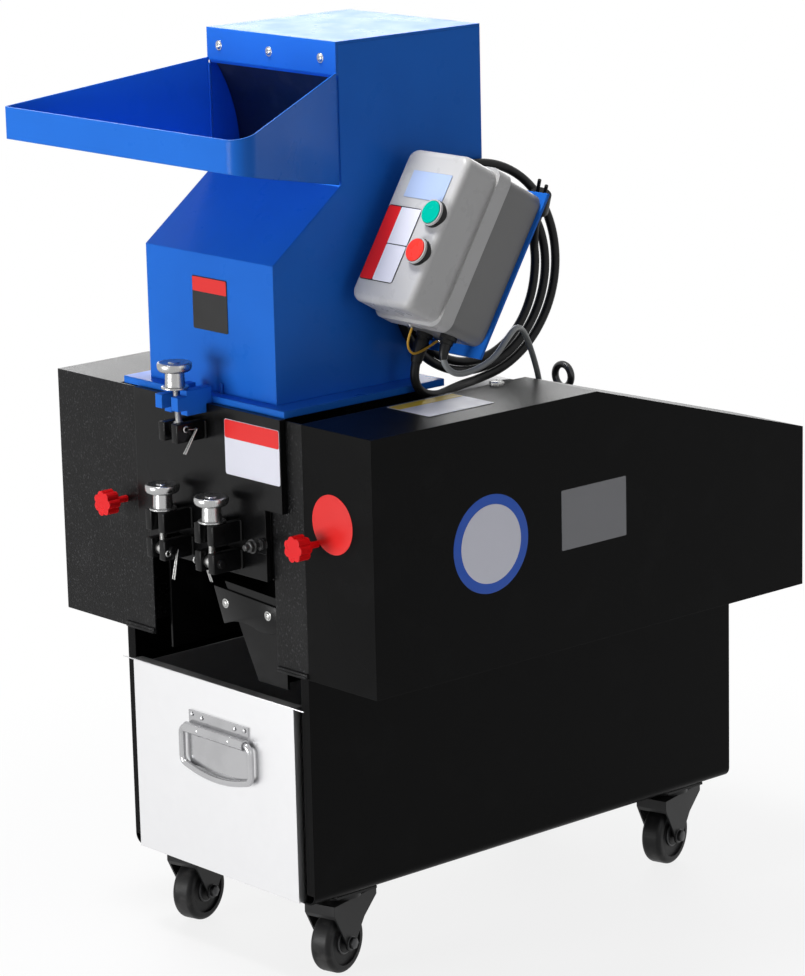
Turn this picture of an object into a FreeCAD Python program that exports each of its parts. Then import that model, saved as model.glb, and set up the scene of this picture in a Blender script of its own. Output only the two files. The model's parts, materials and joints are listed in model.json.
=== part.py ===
# Plastic shredder on casters: a sheet-steel cabinet with a pull-out bin, a cutting chamber between
# two side covers, a tilting feed hopper with a flared scoop, and a starter box beside the hopper.
# Millimetres. X runs to the right, Y to the back and Z up. The datum of every outline is the
# cabinet's front plane on the floor, and a placement moves it to the middle of the machine.
import FreeCAD, Part
import math
import os
import re
import Sketcher

V = FreeCAD.Vector

# Driving dimensions

SIZES = {
    # where the cabinet's front plane stands before the middle of the machine
    "Setback": 290,
    # sheet gauges and the seat between pieces
    "Sheet": 2,
    "Plate": 3,
    "Seat": 0.3,
    # cabinet
    "CabinetWidth": 332,
    "CabinetDepth": 680,
    "CabinetBottom": 101,
    "CabinetTop": 371,
    "BendRadius": 12,
    "FrontFlange": 14,
    "DeckFront": 262,
    # side covers and cheeks
    "CoverTop": 665,
    "CoverReach": 116.5,
    "GuardDepth": 687,
    "GuardFlat": 342,
    "GuardDrop": 98,
    "FlywheelDepth": 300,
    "CheekFlange": 54,
    "CheekNarrow": 39,
    "CheekStep": 144,
    "CheekDepth": 470,
    # cutting chamber
    "ChamberLeftInset": 41,
    "ChamberRightInset": 28,
    "ChamberFront": 8,
    "ChamberDepth": 236,
    "DeckStep": 2,
    "ChamberTall": 191,
    "FrameTall": 31,
    "FrameRightInset": 58,
    "FrameLeftInset": 61,
    "EarTall": 52,
    "ChuteTall": 124,
    "ChuteFront": 20,
    "ChuteRear": 120,
    "PlateDrop": 23,
    "PlateSlant": 56,
    "PlateHang": 8,
    "PlateFall": 5,
    # hopper
    "HopperLeftInset": 3,
    "HopperRightInset": 2,
    "HopperFront": 15.6,
    "HopperRearFoot": 224,
    "NeckFront": 118.5,
    "NeckRear": 333,
    "ShoulderRise": 157.5,
    "KneeRise": 78,
    "RearDrop": 40.5,
    "NeckTall": 161,
    "FlangeThick": 8,
    "FlangeSide": 31,
    "FlangeFront": 15.5,
    "LidLip": 38,
    # feed scoop
    "ScoopReach": 225,
    "ScoopLeftFlare": 97,
    "ScoopRightFlare": 106,
    "ScoopFloorRise": 48,
    "ScoopLip": 36,
    "ScoopBack": 127,
    "ScoopLeftCorner": 3.5,
    "ScoopRightCorner": 20,
    "CurtainDrop": 112,
    "CurtainSweep": 34,
    "CurtainBendIn": 0.55,
    "CurtainBendDown": 0.3,
    # clamps
    "ClampOut": 36,
    "TopClampX": -11,
    "LeftClampX": -42,
    "RightClampX": 47,
    "TopNutRise": 21,
    "LowNutDrop": 125,
    "NutDisc": 20,
    "NutDiscThick": 10.5,
    "NutEdge": 1.5,
    "NutStem": 8.5,
    "NutStemLong": 17,
    "NutCollar": 15.5,
    "NutCollarThick": 3.5,
    "BoltRadius": 5.5,
    "BoltFit": 0.05,
    "BoltTip": 4,
    "BoltTail": 10,
    "BoltEye": 8,
    "PinRadius": 4,
    "PinFit": 0.3,
    "PinProud": 2,
    "LugThick": 12,
    "LugGap": 17,
    "LugNose": 13,
    "LugTall": 32,
    "ForkTall": 29,
    "HingeGap": 12,
    # bin
    "BinFront": 8,
    "BinGap": 5.5,
    "BinTall": 232.7,
    "BinDepth": 400,
    "BinInset": 8,
    "BinFlange": 13,
    # bin handle
    "HandleAcross": 12,
    "HandleDrop": 60.7,
    "HandleHalf": 54,
    "HandleTop": 20,
    "HandleSkirt": 46,
    "KnuckleRadius": 6.5,
    "BailHalf": 62.5,
    "BailWire": 4,
    "BailFit": 0.3,
    "BailPin": 12,
    "BailLeg": 43,
    "BailSag": 16,
    "BailBend": 2.2,
    "BailBow": 3,
    # casters
    "CasterInset": 38,
    "CasterEnd": 70,
    "CasterTurn": 15,
    "CasterTrail": 10,
    "WheelRadius": 37.5,
    "WheelWidth": 27,
    "WheelShoulder": 6,
    "WheelDish": 3,
    "HubRadius": 13,
    "RimRadius": 28,
    "AxleRadius": 4,
    "AxleFit": 0.3,
    "AxleHead": 7,
    "AxleProud": 4,
    "ForkEye": 10,
    "ForkFoot": 9,
    "ForkGap": 5,
    "ForkSheet": 2.5,
    "ForkDeep": 43,
    "ForkFrontDrop": 12,
    "ForkRearDrop": 9,
    "ForkWaist": 17,
    "ForkWaistDrop": 29,
    "SkirtDrop": 17,
    "SkirtIn": 3,
    "CrownRadius": 24,
    "CrownThick": 7,
    "CasterPlate": 60,
    # starter on its bracket
    "StarterTilt": 29,
    "StarterOut": 12,
    "StarterWide": 110.5,
    "StarterLow": 38,
    "StarterTall": 192,
    "StarterLean": 11.7,
    "StarterBack": 31.5,
    "BaseDeep": 55.5,
    "BaseInset": 3.5,
    "LidRim": 19.5,
    "LidDeep": 47.5,
    "LidStep": 4,
    "BoxCorner": 14,
    "FaceCorner": 8,
    "BracketOut": 136,
    "BracketFootOut": 124,
    "BracketLow": 28.8,
    "BracketHigh": 231,
    "BracketNotchOut": 20,
    "BracketNotchHigh": 66,
    "BracketHook": 220,
    "ButtonAcross": 88.3,
    "StartHigh": 115.1,
    "StopHigh": 69.6,
    "ButtonRadius": 13.2,
    "ButtonProud": 9,
    "ButtonFit": 0.5,
    "ButtonDeep": 8,
    "BezelRadius": 15.2,
    "BezelProud": 8,
    "BezelRoot": 3,
    # motor
    "MotorBehind": 120,
    "MotorRise": 130,
    "MotorRadius": 80,
    "MotorLeft": 112,
    "MotorRight": 88,
    "CowlRadius": 86,
    "CowlLong": 34,
    "MotorLift": 10,
    "MotorFootTall": 40,
    "MotorFootHalf": 70,
    "FootOuter": 74,
    "FootInner": 44,
    "BedHalf": 95,
    "BedDeep": 85,
    "EyeRadius": 14,
    "EyeWire": 4.5,
    "EyeCollar": 8,
    "BoxAcross": 57,
    "BoxHalf": 38,
    "BoxFront": 92,
    "BoxRear": 30,
    "BoxLow": 47,
    "BoxHigh": 97,
    # star knobs
    "LeftKnobIn": 8,
    "RightKnobOut": 22,
    "LeftKnobDrop": 138,
    "RightKnobDrop": 132,
    "KnobRadius": 15,
    "KnobLobe": 5.5,
    "KnobLobes": 7,
    "KnobThick": 16,
    "KnobStand": 20,
    "KnobStem": 4,
    # power cable, its coil and plug, and the motor's flexible lead
    "CableRadius": 5.25,
    "LeadRadius": 3.5,
    "GlandRadius": 10,
    "GlandLong": 10,
    "GlandIn": 32,
    "GlandBehind": 50,
    "LeadIn": 82,
    "LeadBehind": 60,
    "CoilOuter": 131,
    "CoilInner": 99,
    "CoilBehind": 92,
    "CoilRise": 122,
    "CoilInnerShift": 12.5,
    "CoilInnerDrop": 3,
    "CoilThick": 12.8,
    "StubTurn": 20,
    "StubLong": 38,
    "PlugStub": 25,
    "PlugTurn": 75,
    "PlugAside": 28,
    "CableRun": 30,
    "LeadRun": 18,
    "LeadAside": 6,
    "LeadAhead": 24,
    "LeadAbove": 3,
    "PlugRadius": 12.5,
    "PlugLong": 28,
    "PlugRelief": 18,
    "ReliefEdge": 2,
    "PlugEdge": 3,
    "PlugPinHalf": 6,
    "PlugPinRadius": 2.2,
    "PlugPinLong": 17,
}

# Places that follow from the sizes above, kept in the sheet as formulas

FOLLOWS = {
    "TopNutSeat": "CoverTop + TopNutRise",
    "LowNutSeat": "CoverTop - LowNutDrop",
    "LeftKnobX": "LeftKnobIn - CabinetWidth / 2",
    "LeftKnobZ": "CoverTop - LeftKnobDrop",
    "RightKnobX": "CabinetWidth / 2 + RightKnobOut",
    "RightKnobZ": "CoverTop - RightKnobDrop",
    "MotorY": "CabinetDepth - MotorBehind",
    "MotorZ": "CabinetTop + MotorRise",
    "ChamberLeft": "CabinetWidth / 2 - ChamberLeftInset",
    "ChamberRight": "CabinetWidth / 2 - ChamberRightInset",
    "FrameLeft": "CabinetWidth / 2 - FrameLeftInset",
    "FrameRight": "CabinetWidth / 2 - FrameRightInset",
    "HopperLeft": "ChamberLeft - HopperLeftInset",
    "HopperRight": "FrameRight - HopperRightInset",
    "StarterLeft": "HopperRight + StarterOut",
    "BracketRight": "HopperRight + BracketOut",
    "BracketFoot": "HopperRight + BracketFootOut",
    "BracketNotch": "HopperRight + BracketNotchOut",
    "GlandAcross": "StarterLeft + GlandIn",
    "LeadAcross": "StarterLeft + LeadIn",
    "CoilY": "HopperRearFoot + CoilBehind",
    "CoilZ": "CoverTop + CoilRise",
    "CoilInnerY": "CoilY - CoilInnerShift",
    "CoilInnerZ": "CoilZ - CoilInnerDrop",
}

# Heights that follow from the sizes above

DECK = "(CoverTop + DeckStep)"
FOOT = "(CoverTop + DeckStep + FlangeThick)"
SHOULDER = "(CoverTop + DeckStep + FlangeThick + ShoulderRise)"
KNEE = "(CoverTop + DeckStep + FlangeThick + ShoulderRise + KneeRise)"
REAR_KNEE = "(CoverTop + DeckStep + FlangeThick + ShoulderRise + KneeRise - RearDrop)"
CEILING = "(CoverTop + DeckStep + FlangeThick + ShoulderRise + KneeRise + NeckTall)"
CHAMBER_FOOT = "(CoverTop + DeckStep - ChamberTall)"
FRAME_TOP = "(CoverTop + DeckStep - ChamberTall + FrameTall)"
CHUTE_FOOT = "(CoverTop + DeckStep - ChamberTall - ChuteTall)"
MOTOR_FOOT = "(MotorZ - MotorRadius - MotorLift)"

doc = FreeCAD.newDocument("PlasticShredder")
sheet = doc.addObject("Spreadsheet::Sheet", "Sizes")
for row, (alias, amount) in enumerate(SIZES.items(), 1):
    sheet.set("A%d" % row, alias)
    sheet.set("B%d" % row, str(amount))
    sheet.setAlias("B%d" % row, alias)
for row, (alias, text) in enumerate(FOLLOWS.items(), len(SIZES) + 1):
    sheet.set("A%d" % row, alias)
    sheet.set("B%d" % row, "=" + text)
    sheet.setAlias("B%d" % row, alias)
doc.recompute()

nodes = {}


# Small tools that tie outlines and features to the sheet

def formula(text):
    """A formula on the sheet's aliases, written for FreeCAD."""
    named = lambda word: "Sizes." + word[0] if word[0] in SIZES or word[0] in FOLLOWS else word[0]
    return re.sub(r"[A-Za-z]\w+", named, text)


def tie(item, place, text):
    """Bind one property of an object to a formula."""
    item.setExpression(place, formula(text))


def size(alias):
    """The number that a cell holds."""
    return float(sheet.get(alias))


def keep(name, item):
    """Register a finished sub-part under its node name."""
    item.Label = name
    nodes[name] = item
    return item


def new_body(name, at=("0", "0", "0")):
    """An empty body whose datum stands at a formula-bound point of the machine."""
    body = doc.addObject("PartDesign::Body", name)
    body.Label = name
    body.AllowCompound = True
    if at:
        tie(body, "Placement.Base.x", at[0])
        tie(body, "Placement.Base.y", "%s - Setback" % at[1])
        tie(body, "Placement.Base.z", at[2])
    return body


def attach(body, view, start):
    """A sketch on the body's side, front or top plane, moved to its start."""
    role = {"side": "YZ_Plane", "front": "XZ_Plane", "top": "XY_Plane"}[view]
    plane = next(f for f in body.Origin.OriginFeatures if f.Role == role)
    outline = body.newObject("Sketcher::SketchObject", "Outline")
    outline.AttachmentSupport = [(plane, "")]
    outline.MapMode = "FlatFace"
    tie(outline, "AttachmentOffset.Base.z", "-(%s)" % start if view == "front" else start)
    return outline


def pin_down(outline, line, end, across, up):
    """Tie one point of a sketch to its origin by two distances."""
    for kind, text in (("DistanceX", across), ("DistanceY", up)):
        index = outline.addConstraint(Sketcher.Constraint(kind, -1, 1, line, end, 1.0))
        tie(outline, "Constraints[%d]" % index, text)


def polygon(outline, corners):
    """A closed outline through corners that are pairs of formulas."""
    count = len(corners)
    first = len(outline.Geometry)
    ring = [V(math.cos(2 * math.pi * i / count), math.sin(2 * math.pi * i / count), 0) for i in range(count)]
    for i in range(count):
        outline.addGeometry(Part.LineSegment(ring[i], ring[(i + 1) % count]), False)
    for i in range(count):
        outline.addConstraint(Sketcher.Constraint("Coincident", first + i, 2, first + (i + 1) % count, 1))
    for i, (across, up) in enumerate(corners):
        pin_down(outline, first + i, 1, across, up)


def rounds(outline, circles):
    """Circles given by centre and radius formulas."""
    for across, up, radius in circles:
        line = outline.addGeometry(Part.Circle(V(0, 0, 0), V(0, 0, 1), 1.0), False)
        pin_down(outline, line, 3, across, up)
        index = outline.addConstraint(Sketcher.Constraint("Radius", line, 1.0))
        tie(outline, "Constraints[%d]" % index, radius)


def rectangle(low, high):
    """The corners of an upright rectangle."""
    return [(low[0], low[1]), (high[0], low[1]), (high[0], high[1]), (low[0], high[1])]


def prism(body, view, corners, start, end, circles=()):
    """Material from start to end along the view's axis."""
    outline = attach(body, view, start)
    if corners:
        polygon(outline, corners)
    rounds(outline, circles)
    feature = body.newObject("PartDesign::Pad", "Pad")
    feature.Profile = outline
    feature.Reversed = view == "front"
    tie(feature, "Length", "%s - (%s)" % (end, start))
    return feature


def cut(body, view, corners, start, end, circles=()):
    """Material taken away from start to end along the view's axis."""
    outline = attach(body, view, start)
    if corners:
        polygon(outline, corners)
    rounds(outline, circles)
    feature = body.newObject("PartDesign::Pocket", "Pocket")
    feature.Profile = outline
    feature.Reversed = view != "front"
    tie(feature, "Length", "%s - (%s)" % (end, start))
    return feature


def turned(body, corners):
    """A revolved piece: corners are (radius, height) pairs about the body's Z axis."""
    outline = attach(body, "front", "0")
    polygon(outline, corners)
    feature = body.newObject("PartDesign::Revolution", "Revolution")
    feature.Profile = outline
    feature.ReferenceAxis = (outline, ["V_Axis"])
    feature.Angle = 360
    return feature


def edges_of(feature, chosen):
    """Names of the edges that a test on middle, direction, box and edge picks."""
    doc.recompute()
    box = feature.Shape.BoundBox
    names = []
    for number, edge in enumerate(feature.Shape.Edges, 1):
        if edge.Length > 0.01 and chosen(edge.CenterOfMass, edge.tangentAt(edge.FirstParameter), box, edge):
            names.append("Edge%d" % number)
    return names


def round_edges(body, feature, chosen, radius):
    """A fillet on the chosen edges of the last feature."""
    fillet = body.newObject("PartDesign::Fillet", "Fillet")
    fillet.Base = (feature, edges_of(feature, chosen))
    tie(fillet, "Radius", radius)
    return fillet


def hollow(body, feature, open_faces, wall):
    """A shell with its wall inside the outline, open where the test says."""
    doc.recompute()
    box = feature.Shape.BoundBox
    faces = ["Face%d" % n for n, face in enumerate(feature.Shape.Faces, 1)
             if open_faces(face.CenterOfMass, face.normalAt(0, 0), box)]
    shell = body.newObject("PartDesign::Thickness", "Thickness")
    shell.Base = (feature, faces)
    shell.Join = 1
    shell.Reversed = True
    tie(shell, "Value", wall)
    return shell


def together(name, items):
    """Like pieces that share one node without touching."""
    group = doc.addObject("Part::Compound", name)
    group.Links = items
    return keep(name, group)


# Cabinet

def cabinet():
    half = "CabinetWidth / 2"
    shell = new_body("cabinet_shell")
    block = prism(shell, "front", rectangle(("-" + half, "CabinetBottom"), (half, "CabinetTop")),
                  "0", "CabinetDepth")
    outside = round_edges(shell, block, lambda p, d, b, e: abs(d.y) > 0.9 and p.z < b.ZMin + 1, "BendRadius")
    hollow(shell, outside, lambda p, n, b: abs(p.z - b.ZMax) < 0.1 or abs(n.y) > 0.9, "Sheet")
    for side in ("-", ""):
        edge = side + "(" + half + " - Sheet / 2)"
        lip = side + "(" + half + " - FrontFlange)"
        prism(shell, "front", rectangle((lip, "CabinetBottom + BendRadius"), (edge, "CabinetTop")),
              "0", "Sheet")
    keep("cabinet_shell", shell)

    deck = new_body("motor_deck")
    prism(deck, "top", rectangle(("Sheet - " + half, "DeckFront"), (half + " - Sheet", "CabinetDepth")),
          "CabinetTop - Plate", "CabinetTop")
    prism(deck, "front", rectangle(("Sheet - " + half, "CabinetBottom + BendRadius"),
                                   (half + " - Sheet", "CabinetTop - Plate")),
          "CabinetDepth - Sheet", "CabinetDepth")
    prism(deck, "top", rectangle(("-BedHalf", "MotorY - BedDeep"), ("BedHalf", "MotorY + BedDeep")),
          "CabinetTop", MOTOR_FOOT)
    keep("motor_deck", deck)


def cheek(name, sign, low_lip, high_lip):
    """A side wall above the cabinet, its front flange turned inwards and stepped."""
    half = sign + "(CabinetWidth / 2)"
    inside = sign + "(CabinetWidth / 2 - Sheet)"
    low = sign + "(CabinetWidth / 2 - %s)" % low_lip
    high = sign + "(CabinetWidth / 2 - %s)" % high_lip
    wall = new_body(name)
    prism(wall, "side", [("0", "CabinetTop"), ("CheekDepth", "CabinetTop"), ("CheekDepth", "CoverTop - GuardDrop"),
                         ("GuardFlat", "CoverTop"), ("0", "CoverTop")],
          half if sign == "-" else inside, inside if sign == "-" else half)
    step = "CabinetTop + CheekStep"
    prism(wall, "front", [(low, "CabinetTop"), (inside, "CabinetTop"), (inside, "CoverTop"), (high, "CoverTop"),
                          (high, step + " + Plate"), (low, step)], "0", "Sheet")
    keep(name, wall)


# Side covers

def belt_guard():
    near = "CabinetWidth / 2"
    guard = new_body("belt_guard")
    block = prism(guard, "side", [("0", "CabinetTop"), ("GuardDepth", "CabinetTop"),
                                  ("GuardDepth", "CoverTop - GuardDrop"), ("GuardFlat", "CoverTop"),
                                  ("0", "CoverTop")], near, near + " + CoverReach")
    hollow(guard, block, lambda p, n, b: abs(p.x - b.XMin) < 0.1 or abs(p.z - b.ZMin) < 0.1, "Sheet")
    keep("belt_guard", guard)


def flywheel_cover():
    near = "-CabinetWidth / 2"
    cover = new_body("flywheel_cover")
    block = prism(cover, "side", rectangle(("0", "CabinetTop"), ("FlywheelDepth", "CoverTop")),
                  near + " - CoverReach", near)
    hollow(cover, block, lambda p, n, b: abs(p.x - b.XMax) < 0.1 or abs(p.z - b.ZMin) < 0.1, "Sheet")
    keep("flywheel_cover", cover)


# Cutting chamber and discharge

def chamber():
    body = new_body("chamber_body")
    prism(body, "side", rectangle(("Sheet + Seat", CHAMBER_FOOT), ("ChamberDepth", DECK)),
          "-ChamberLeft", "FrameRight")
    keep("chamber_body", body)

    front = new_body("chamber_front")
    low = FRAME_TOP + " + Seat"
    high = FRAME_TOP + " + EarTall"
    prism(front, "front", [("-ChamberLeft", low), ("FrameRight", low), ("FrameRight", high),
                           ("ChamberRight", high), ("ChamberRight", DECK), ("-ChamberLeft", DECK)],
          "-ChamberFront", "0")
    keep("chamber_front", front)

    frame = new_body("screen_frame")
    prism(frame, "front", rectangle(("-FrameLeft", CHAMBER_FOOT), ("FrameRight", FRAME_TOP)), "-ChamberFront", "0")
    keep("screen_frame", frame)

    chute = new_body("discharge_chute")
    prism(chute, "side", [("ChuteFront", CHAMBER_FOOT), ("ChamberDepth", CHAMBER_FOOT),
                          ("ChuteRear", CHUTE_FOOT), ("ChuteFront", CHUTE_FOOT)], "-FrameRight", "FrameRight")
    cut(chute, "side", [("ChuteFront - 1", CHAMBER_FOOT + " + 1"), ("ChamberDepth - Plate", CHAMBER_FOOT + " + 1"),
                        ("ChuteRear - Plate", CHUTE_FOOT + " - 1"), ("ChuteFront - 1", CHUTE_FOOT + " - 1")],
        "Plate - FrameRight", "FrameRight - Plate")
    top = CHAMBER_FOOT + " - PlateDrop"
    low = CHUTE_FOOT + " - PlateHang"
    prism(chute, "front", [("0", top), ("FrameRight", top + " - PlateFall"), ("FrameRight", low), ("PlateSlant", low)],
          "ChuteFront - Plate", "ChuteFront")
    keep("discharge_chute", chute)


# Hopper

def hopper():
    body = new_body("hopper_body")
    block = prism(body, "side", [("HopperFront", FOOT), ("HopperRearFoot", FOOT), ("NeckRear", REAR_KNEE),
                                 ("NeckRear", CEILING + " - Plate"), ("NeckFront", CEILING + " - Plate"),
                                 ("NeckFront", KNEE), ("HopperFront", SHOULDER)],
                  "-HopperLeft", "HopperRight")
    hollow(body, block, lambda p, n, b: abs(p.z - b.ZMin) < 0.1 or abs(p.z - b.ZMax) < 0.1, "Plate")
    cut(body, "front", rectangle(("Plate - HopperLeft", KNEE + " + Plate"),
                                 ("HopperRight - Plate", CEILING + " - LidLip - Plate")),
        "NeckFront - 1", "NeckFront + Plate + 1")
    keep("hopper_body", body)

    flange = new_body("hopper_flange")
    prism(flange, "top", rectangle(("-HopperLeft - FlangeSide", "HopperFront - FlangeFront"),
                                   ("HopperRight + FlangeSide", "HopperRearFoot + FlangeFront")),
          DECK, FOOT)
    cut(flange, "top", rectangle(("Plate - HopperLeft", "HopperFront + Plate"),
                                 ("HopperRight - Plate", "HopperRearFoot - Plate")),
        DECK + " - 1", FOOT + " + 1")
    outer = "TopClampX + LugGap / 2 + LugThick"
    inner = "TopClampX - LugGap / 2 - LugThick"
    prism(flange, "top", rectangle((inner, "-ChamberFront - Seat"), (outer, "HopperFront - FlangeFront")), DECK, FOOT)
    for near, far in (("TopClampX - LugGap / 2 - LugThick", "TopClampX - LugGap / 2"),
                      ("TopClampX + LugGap / 2", "TopClampX + LugGap / 2 + LugThick")):
        prism(flange, "side", [("-ClampOut", "TopNutSeat - ForkTall"), ("-ChamberFront - Seat", "TopNutSeat - ForkTall"),
                               ("-ChamberFront - Seat", DECK), ("HopperFront - FlangeFront", FOOT),
                               ("HopperFront - FlangeFront", "TopNutSeat"), ("-ClampOut", "TopNutSeat")], near, far)
        prism(flange, "side", rectangle(("-ClampOut - LugNose", "TopNutSeat - ForkTall + LugNose / 2"),
                                        ("-ClampOut", "TopNutSeat - LugNose / 2")), near, far)
    keep("hopper_flange", flange)

    lid = new_body("hopper_lid")
    prism(lid, "side", [("NeckFront - Plate", CEILING), ("NeckFront - Plate", CEILING + " - LidLip"),
                        ("NeckFront", CEILING + " - LidLip"), ("NeckFront", CEILING + " - Plate"),
                        ("NeckRear", CEILING + " - Plate"), ("NeckRear", CEILING)],
          "-HopperLeft", "HopperRight")
    keep("hopper_lid", lid)


def feed_scoop():
    """Folded tray that flares from the neck's mouth to its lip."""
    left = "-HopperLeft - ScoopLeftFlare"
    right = "HopperRight + ScoopRightFlare"
    front = "NeckFront - ScoopReach"
    scoop = new_body("feed_scoop")
    outer = prism(scoop, "top", [("-HopperLeft", "NeckFront - Plate"), (left, front), (right, front),
                                 ("HopperRight", "NeckFront - Plate")], KNEE, KNEE + " + ScoopBack")
    bent = round_edges(scoop, outer, lambda p, d, b, e: abs(d.z) > 0.9 and abs(p.y - b.YMin) < 0.1 and p.x < 0,
                       "ScoopLeftCorner")
    round_edges(scoop, bent, lambda p, d, b, e: abs(d.z) > 0.9 and abs(p.y - b.YMin) < 0.1 and p.x > b.XMax - 1,
                "ScoopRightCorner")
    cut(scoop, "side", [(front + " - 1", KNEE + " - 1"), (front + " - 1", KNEE + " + ScoopFloorRise"),
                        ("NeckFront", KNEE), ("NeckFront", KNEE + " - 1")], left + " - 1", right + " + 1")
    top = KNEE + " + ScoopFloorRise + ScoopLip"
    trimmed = cut(scoop, "side", [(front + " - 1", top), ("NeckFront", KNEE + " + ScoopBack"),
                                  ("NeckFront", KNEE + " + ScoopBack + 1"),
                                  (front + " - 1", KNEE + " + ScoopBack + 1")], left + " - 1", right + " + 1")
    hollow(scoop, trimmed, lambda p, n, b: abs(p.y - b.YMax) < 0.1 or (n.z > 0.5 and p.z > b.Center.z), "Sheet")
    keep("feed_scoop", scoop)


def ceiling():
    """The height of the hopper's lid, as a number."""
    return sum(size(word) for word in ("CoverTop", "DeckStep", "FlangeThick", "ShoulderRise", "KneeRise", "NeckTall"))


def feed_curtain():
    """Rubber flap clamped behind the lid's lip, curving inwards as it hangs."""
    top = V(0, size("NeckFront") + size("Plate") + size("Seat"), ceiling() - size("LidLip"))
    sweep = size("CurtainSweep")
    drop = size("CurtainDrop")
    bend = V(0, sweep * size("CurtainBendIn"), -drop * size("CurtainBendDown"))
    path = [top, top + bend, top + V(0, sweep, -drop)]
    curve = Part.BSplineCurve()
    curve.interpolate(path)
    other = [p + V(0, size("Plate"), 0) for p in path]
    back = Part.BSplineCurve()
    back.interpolate(other)
    outline = Part.Wire([curve.toShape(), Part.makeLine(path[-1], other[-1]), back.toShape(),
                         Part.makeLine(other[0], path[0])])
    margin = size("Plate") + size("Sheet")
    outline.translate(V(margin - size("HopperLeft"), 0, 0))
    flap = doc.addObject("Part::Feature", "feed_curtain")
    flap.Shape = Part.Face(outline).extrude(V(size("HopperLeft") + size("HopperRight") - 2 * margin, 0, 0))
    flap.Placement = FreeCAD.Placement(V(0, -size("Setback"), 0), FreeCAD.Rotation())
    keep("feed_curtain", flap)


# Clamps: a swing bolt on a cross pin in black ears, drawn down by a nut on the fork above

def clamp_nut(number, across, seat):
    nut = new_body("clamp_nut_%d" % number, (across, "-ClampOut", seat))
    bore = "BoltRadius + BoltFit"
    rim = "NutCollarThick + NutStemLong"
    crown = rim + " + NutDiscThick"
    turned(nut, [(bore, "Seat"), ("NutCollar", "Seat"), ("NutCollar", "NutCollarThick"),
                 ("NutStem", "NutCollarThick"), ("NutStem", rim), ("NutDisc - NutEdge", rim),
                 ("NutDisc", rim + " + NutEdge"), ("NutDisc", crown + " - NutEdge"),
                 ("NutDisc - NutEdge", crown), (bore, crown)])
    return nut


def swing_bolt(number, across, seat, pivot):
    """Round bar that ends in an eye on its cross pin."""
    bolt = new_body("swing_bolt_%d" % number, (across, "-ClampOut", seat))
    tip = "NutCollarThick + NutStemLong + BoltTip"
    prism(bolt, "top", [], "-(%s) - BoltEye - BoltTail" % pivot, tip, [("0", "0", "BoltRadius")])
    prism(bolt, "side", [], "-BoltEye", "BoltEye", [("0", "-(%s)" % pivot, "BoltEye")])
    prism(bolt, "side", [], "-LugGap / 2 - LugThick - PinProud", "LugGap / 2 + LugThick + PinProud",
          [("0", "-(%s)" % pivot, "PinRadius")])
    return bolt


def arms(name, across, seat, top, tall, bored):
    """Two rounded ears that stand out from the chamber on both sides of the bolt."""
    pair = new_body(name, (across, "0", seat))
    low = top + " - " + tall
    middle = top + " - " + tall + " / 2"
    for near, far in (("-LugGap / 2 - LugThick", "-LugGap / 2"), ("LugGap / 2", "LugGap / 2 + LugThick")):
        prism(pair, "side", rectangle(("-ClampOut", low), ("-ChamberFront", top)), near, far)
        prism(pair, "side", rectangle(("-ClampOut - LugNose", low + " + LugNose / 2"),
                                      ("-ClampOut", top + " - LugNose / 2")), near, far)
    if bored:
        cut(pair, "side", [], "-LugGap / 2 - LugThick - 1", "LugGap / 2 + LugThick + 1",
            [("-ClampOut", middle, "PinRadius + PinFit")])
    return pair


def clamps():
    ear = "ForkTall + Seat + LugTall / 2"
    high_ear = "ForkTall + HingeGap + LugTall / 2"
    spots = [("TopClampX", "TopNutSeat", high_ear), ("LeftClampX", "LowNutSeat", ear), ("RightClampX", "LowNutSeat", ear)]
    together("clamp_nuts", [clamp_nut(i, x, z) for i, (x, z, _) in enumerate(spots)])
    together("swing_bolts", [swing_bolt(i, x, z, pivot) for i, (x, z, pivot) in enumerate(spots)])
    lugs = [arms("pivot_lug_0", "TopClampX", "TopNutSeat", "-ForkTall - HingeGap", "LugTall", True)]
    for i, across in ((1, "LeftClampX"), (2, "RightClampX")):
        lugs.append(arms("pivot_lug_%d" % i, across, "LowNutSeat", "-ForkTall - Seat", "LugTall", True))
        lugs.append(arms("clamp_fork_%d" % i, across, "LowNutSeat", "0", "ForkTall", False))
    together("pivot_lugs", lugs)


# Pull-out bin and its handle

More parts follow.
